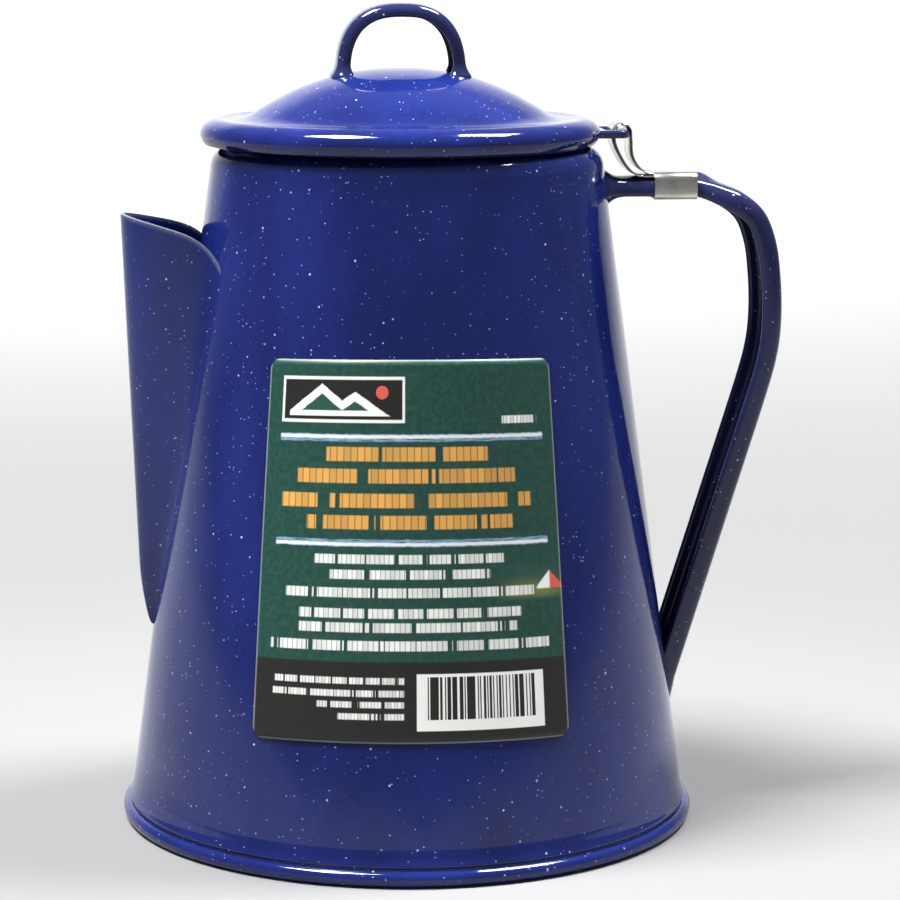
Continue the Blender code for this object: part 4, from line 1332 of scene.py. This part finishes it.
@dataclass
class Insert:
    """The loose aluminium insert: bell, tube, collar, basket and spreader."""

    aluminium: Any
    sheet: float = 0.8
    bell_radius: float = 37.5
    bell_low: float = 1.8
    bell_height: float = 14.5
    inlet_radius: float = 3.0
    tube_radius: float = 4.75
    tube_low: float = 12.3
    tube_high: float = 188.4
    collar_radius: float = 8.0
    collar_high: float = 121.7
    collar_height: float = 4.0
    basket_radius: float = 38.0
    basket_lip: float = 1.5
    basket_floor: float = 122.0
    basket_rim: float = 170.0
    play: float = 1.0
    dish: float = 3.0
    floor_holes: tuple[tuple[float, int], ...] = ((13.7, 12), (20.0, 18), (26.2, 24), (31.5, 30))
    plate_holes: tuple[tuple[float, int], ...] = ((11.5, 10), (17.0, 16), (22.5, 22), (28.0, 28))

    @staticmethod
    def rosette(rows: tuple[tuple[float, int], ...], z: float) -> list[Vector]:
        """Places of holes in rings, each row a radius and a count."""
        places = []
        for row, (radius, count) in enumerate(rows):
            for i in range(count):
                angle = math.tau * (i + row / 2) / count
                places.append(Vector((radius * math.cos(angle), radius * math.sin(angle), z)))
        return places

    def make_bell(self) -> None:
        """Spins the bell with its four inlet notches drilled through the edge."""
        low, top, hub = self.bell_low, self.bell_low + self.bell_height, self.tube_radius + 0.3
        line = [Vector((hub + out, top + up)) for out, up in ((0.3, 3), (0.8, 2.6), (0.9, 0.6))]
        for step in range(14):
            share = step / 13
            radius = hub + 2.2 + (self.bell_radius - 4.8 - hub) * share
            line.append(Vector((radius, top - (self.bell_height - 1.0) * share ** 1.8)))
        line += [Vector((self.bell_radius - 0.7, low + 0.75)), Vector((self.bell_radius, low + 0.6))]
        inner = offset_line(line[2:], self.sheet)
        inner[0] = Vector((hub, top - 0.2))
        inner[-1] = Vector((self.bell_radius, low))
        inner[-2] = Vector((self.bell_radius - 1.2, low))
        bell = Workpiece.spun([*line, *inner[::-1], Vector((hub, top + 2.7))], 128)
        edge = self.bell_radius - self.inlet_radius / 2
        notches = []
        for turn in range(4):
            angle = math.radians(45 + 90 * turn)
            notches.append(Vector((edge * math.cos(angle), edge * math.sin(angle), low)))
        bell.drill(notches, self.inlet_radius, 12.0)
        bell.publish("pump_bell", self.aluminium, Body.PUMP, Slot.ALUMINIUM, "pump_foot", crease=40.0)

    def make_tube(self) -> None:
        """Spins the tube, its top turned smooth, and the pressed collar."""
        r, t = self.tube_radius, self.sheet
        tube = Workpiece.spun(round_corners([
            (r, self.tube_high, 0.35), (r, self.tube_low, 0.3), (r - t, self.tube_low, 0.3),
            (r - t, self.tube_high, 0.35),
        ], 4), 64)
        tube.publish("pump_stem", self.aluminium, Body.PUMP, Slot.ALUMINIUM, "pump_tube", crease=40.0)
        high, low = self.collar_high, self.collar_high - self.collar_height
        collar = Workpiece.spun(round_corners([
            (self.collar_radius, high, 0.7), (self.collar_radius, low + 2.6, 0.4), (r + 1.6, low, 0.5),
            (r + 0.3, low, 0.2), (r + 0.3, high, 0.2),
        ], 4), 72)
        collar.publish("stem_collar", self.aluminium, Body.PUMP, Slot.ALUMINIUM, "basket_stop", crease=40.0)

    def make_basket(self) -> None:
        """Spins the cup with its turned lip and beads, drills its floor, and adds the sleeve."""
        r, t, floor, rim = self.basket_radius, self.sheet, self.basket_floor, self.basket_rim
        bore = self.tube_radius + self.play + t + 0.3
        outer = round_corners([
            (bore, floor, 0.0), (r - 0.2, floor, 3.0), (r - 0.2, rim - 9.5, 0.0), (r + 0.25, rim - 8.7, 0.5),
            (r - 0.2, rim - 7.9, 0.4), (r - 0.2, rim - t, 0.3), (r + self.basket_lip, rim - t, 0.35),
            (r + self.basket_lip, rim, 0.35), (r - 0.2 - t, rim, 0.5), (r - 0.2 - t, rim - 7.9, 0.4),
            (r + 0.25 - t, rim - 8.7, 0.5), (r - 0.2 - t, rim - 9.5, 0.0),
            (r - 0.2 - t, floor + t, 2.2), (bore, floor + t, 0.0),
        ], 5)
        cup = Workpiece.spun(outer, 144)
        cup.drill(self.rosette(self.floor_holes, floor + 0.4), 1.0, 3.0)
        cup.publish("grounds_basket", self.aluminium, Body.BASKET, Slot.ALUMINIUM, "basket_cup", crease=40.0)
        bore = self.tube_radius + self.play
        top = rim - self.dish - 1.0
        sleeve = Workpiece.spun(round_corners([
            (bore + t, top, 0.3), (bore + t, floor, 0.2), (bore, floor, 0.2), (bore, top, 0.3),
        ], 4), 72)
        sleeve.publish("basket_sleeve_tube", self.aluminium, Body.BASKET, Slot.ALUMINIUM, "basket_sleeve")

    def make_spreader(self) -> None:
        """Spins the dished plate and drills its rings of holes."""
        t, r = self.sheet, self.basket_radius
        bore, seat = self.tube_radius + self.play, self.basket_rim + 0.3
        dish, well = seat - self.dish, self.basket_radius - self.sheet - 0.5
        lip = r + self.basket_lip
        profile = round_corners([
            (bore, dish + t, 0.3), (well - 3.2, dish + t, 1.2), (well - t, seat + t, 0.8),
            (lip, seat + t, 0.38), (lip, seat, 0.38), (well, seat, 0.8), (well - 2.4, dish, 1.2),
            (bore, dish, 0.3),
        ], 5)
        plate = Workpiece.spun(profile, 144)
        plate.drill(self.rosette(self.plate_holes, dish + 0.4), 0.95, 4.0)
        plate.publish(
            "water_spreader", self.aluminium, Body.SPREADER, Slot.ALUMINIUM, "spreader_plate", crease=40.0,
        )

    def make(self) -> None:
        """Makes the insert's six pieces."""
        self.make_bell()
        self.make_tube()
        self.make_basket()
        self.make_spreader()


# ---------------------------------------------------------------- the studio


@dataclass(frozen=True)
class SoftBox:
    """A rectangle of soft light: its bearing and elevation from the object, distance, size and power."""

    name: str
    bearing: float
    elevation: float
    distance: float
    width: float
    height: float
    power: float
    spread: float

    def build(self, target: Vector) -> None:
        """Hangs the light so that it faces the target."""
        data = bpy.data.lights.new(self.name, "AREA")
        data.shape, data.energy = "RECTANGLE", self.power
        data.size, data.size_y = self.width, self.height
        data.spread = math.radians(self.spread)
        obj = bpy.data.objects.new(self.name, data)
        bpy.context.scene.collection.objects.link(obj)
        turn, rise = math.radians(self.bearing), math.radians(self.elevation)
        away = Vector((math.sin(turn) * math.cos(rise), -math.cos(turn) * math.cos(rise), math.sin(rise)))
        obj.location = target + away * self.distance
        obj.rotation_mode = "QUATERNION"
        obj.rotation_quaternion = (-away).to_track_quat("-Z", "Y")


@dataclass
class Studio:
    """A pale sweep of floor, soft boxes and the camera."""

    # darker near the object: painted shade against the lamps' stronger light and bounce there
    near_floor_painted_shade: Colour = (0.23, 0.23, 0.231)
    far_colour: Colour = (0.80, 0.80, 0.802)
    floor_change: tuple[float, float] = (0.25, 1.7)
    sky_back: Colour = (0.34, 0.345, 0.355)
    sky_front: Colour = (0.22, 0.223, 0.232)
    floor_half: float = 16.0
    floor_front: float = -14.0
    floor_run: float = 19.0
    sweep_start: float = 1.7
    sweep_radius: float = 1.2
    camera_place: tuple[float, float, float] = (-0.0824, -0.8560, 0.2487)
    camera_bearing: float = 5.5
    camera_pitch: float = 0.1687
    lens: float = 124.9
    sensor: float = 36.0
    shift_x: float = 0.0478
    box_target: tuple[float, float, float] = (0.0, 0.0, 0.12)
    boxes: tuple[SoftBox, ...] = (
        SoftBox("left_box", -72.0, 68.0, 1.3, 0.45, 0.42, 15.5, 100.0),
        SoftBox("right_box", 98.0, 64.0, 1.3, 0.36, 0.42, 9.0, 100.0),
    )
    backdrop: SoftBox = SoftBox("backdrop_box", 0.0, 50.0, 2.4, 2.4, 1.6, 38.0, 116.0)
    backdrop_target: tuple[float, float, float] = (0.0, 2.6, 0.2)

    def make_floor(self) -> None:
        """Bends a large sheet up behind the object, far outside every view's camera."""
        paint = Paint("pale_floor")
        x, y, _ = paint.parts(paint.place())
        away = (x * x + y * y) ** 0.5
        # Painted shade near the object and paler colour far off, where the lamps' light falls off, so the
        # floor reads evenly pale.
        colour = paint.blend(away.ramp(*self.floor_change), self.near_floor_painted_shade, self.far_colour)
        material = paint.finish(Base_Color=colour, Roughness=0.9)
        material.node_tree.nodes["Principled BSDF"].inputs["Specular IOR Level"].default_value = 0.1

        def place(across: float, back: float) -> Vector:
            """Flat floor, then a quarter turn, then a wall; in millimetres."""
            run = self.floor_front + back * self.floor_run
            if run < self.sweep_start:
                y, z = run, 0.0
            else:
                turn = min((run - self.sweep_start) / self.sweep_radius, math.pi / 2)
                y = self.sweep_start + self.sweep_radius * math.sin(turn)
                z = self.sweep_radius * (1 - math.cos(turn))
                z += max(run - self.sweep_start - self.sweep_radius * math.pi / 2, 0.0)
            return Vector((across * self.floor_half, y, z)) / MM

        sheet = Workpiece.sheet(8, 160, place, Vector((0, 0, 1)))
        bmesh.ops.scale(sheet.bm, verts=sheet.bm.verts, vec=(MM, MM, MM))
        mesh = bpy.data.meshes.new("floor_sweep")
        sheet.bm.to_mesh(mesh)
        sheet.bm.free()
        mesh.shade_smooth()
        mesh.materials.append(material)
        floor = bpy.data.objects.new("floor_sweep", mesh)
        bpy.context.scene.collection.objects.link(floor)

    def make_sky(self) -> None:
        """Soft light all round, dimmer from the front where the studio is dark."""
        world = bpy.data.worlds.new("studio")
        bpy.context.scene.world = world
        world.use_nodes = True
        nodes, links = world.node_tree.nodes, world.node_tree.links
        place = nodes.new("ShaderNodeTexCoord")
        split = nodes.new("ShaderNodeSeparateXYZ")
        links.new(place.outputs["Generated"], split.inputs[0])
        ramp = nodes.new("ShaderNodeMapRange")
        ramp.interpolation_type = "SMOOTHSTEP"
        ramp.inputs["From Min"].default_value, ramp.inputs["From Max"].default_value = 0.25, 0.75
        links.new(split.outputs[1], ramp.inputs["Value"])
        mix = nodes.new("ShaderNodeMix")
        mix.data_type = "RGBA"
        links.new(ramp.outputs[0], mix.inputs[0])
        mix.inputs[6].default_value = (*self.sky_front, 1.0)
        mix.inputs[7].default_value = (*self.sky_back, 1.0)
        links.new(mix.outputs[2], nodes["Background"].inputs["Color"])

    def make_camera(self) -> None:
        """Stands the camera before the label, a little above the lid."""
        data = bpy.data.cameras.new("camera")
        data.lens, data.sensor_width, data.shift_x = self.lens, self.sensor, self.shift_x
        data.clip_start, data.clip_end = 0.05, 50.0
        camera = bpy.data.objects.new("camera", data)
        bpy.context.scene.collection.objects.link(camera)
        camera.location = self.camera_place
        turn = math.radians(self.camera_bearing)
        level = math.cos(self.camera_pitch)
        look = Vector((math.sin(turn) * level, math.cos(turn) * level, -math.sin(self.camera_pitch)))
        camera.rotation_mode = "QUATERNION"
        camera.rotation_quaternion = look.to_track_quat("-Z", "Y")
        bpy.context.scene.camera = camera

    def make(self) -> None:
        """Sets the stage."""
        bpy.context.scene.view_settings.view_transform = "Standard"
        self.make_camera()
        self.make_floor()
        self.make_sky()
        for box in self.boxes:
            box.build(Vector(self.box_target))
        self.backdrop.build(Vector(self.backdrop_target))


def hinge_place() -> Vector:
    """The lid hinge's axis in millimetres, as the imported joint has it."""
    joint = next(j for j in frame["joints"] if j["name"] == "lid_hinge")
    return Vector(joint["pos_m"]) / MM


def main() -> None:
    """Builds the finishes, then each sub-assembly in order."""
    logging.basicConfig(level=logging.INFO, format="%(name)s: %(message)s")
    Studio().make()
    enamel = SpeckledEnamel().build()
    # A darker copy of the enamel: painted shade for the handle, lid loop and lid eye, which the lamps light
    # less.
    painted_shade_enamel = SpeckledEnamel(
        "strap_painted_shade_blue", deep=(0.0105, 0.0135, 0.052), bright=(0.0150, 0.0195, 0.078),
    ).build()
    steel = SpringSteel().build()
    aluminium = SpunAluminium().build()
    paper = PrintedPaper().build()
    hinge = hinge_place()
    pot = Pot(enamel)
    pot.make()
    StrapHandle(painted_shade_enamel, pot).make()
    HingeClip(steel, hinge).make()
    Label(paper, pot).make()
    Lid(enamel, painted_shade_enamel, hinge).make()
    Insert(aluminium).make()


if __name__ == "__main__":
    main()
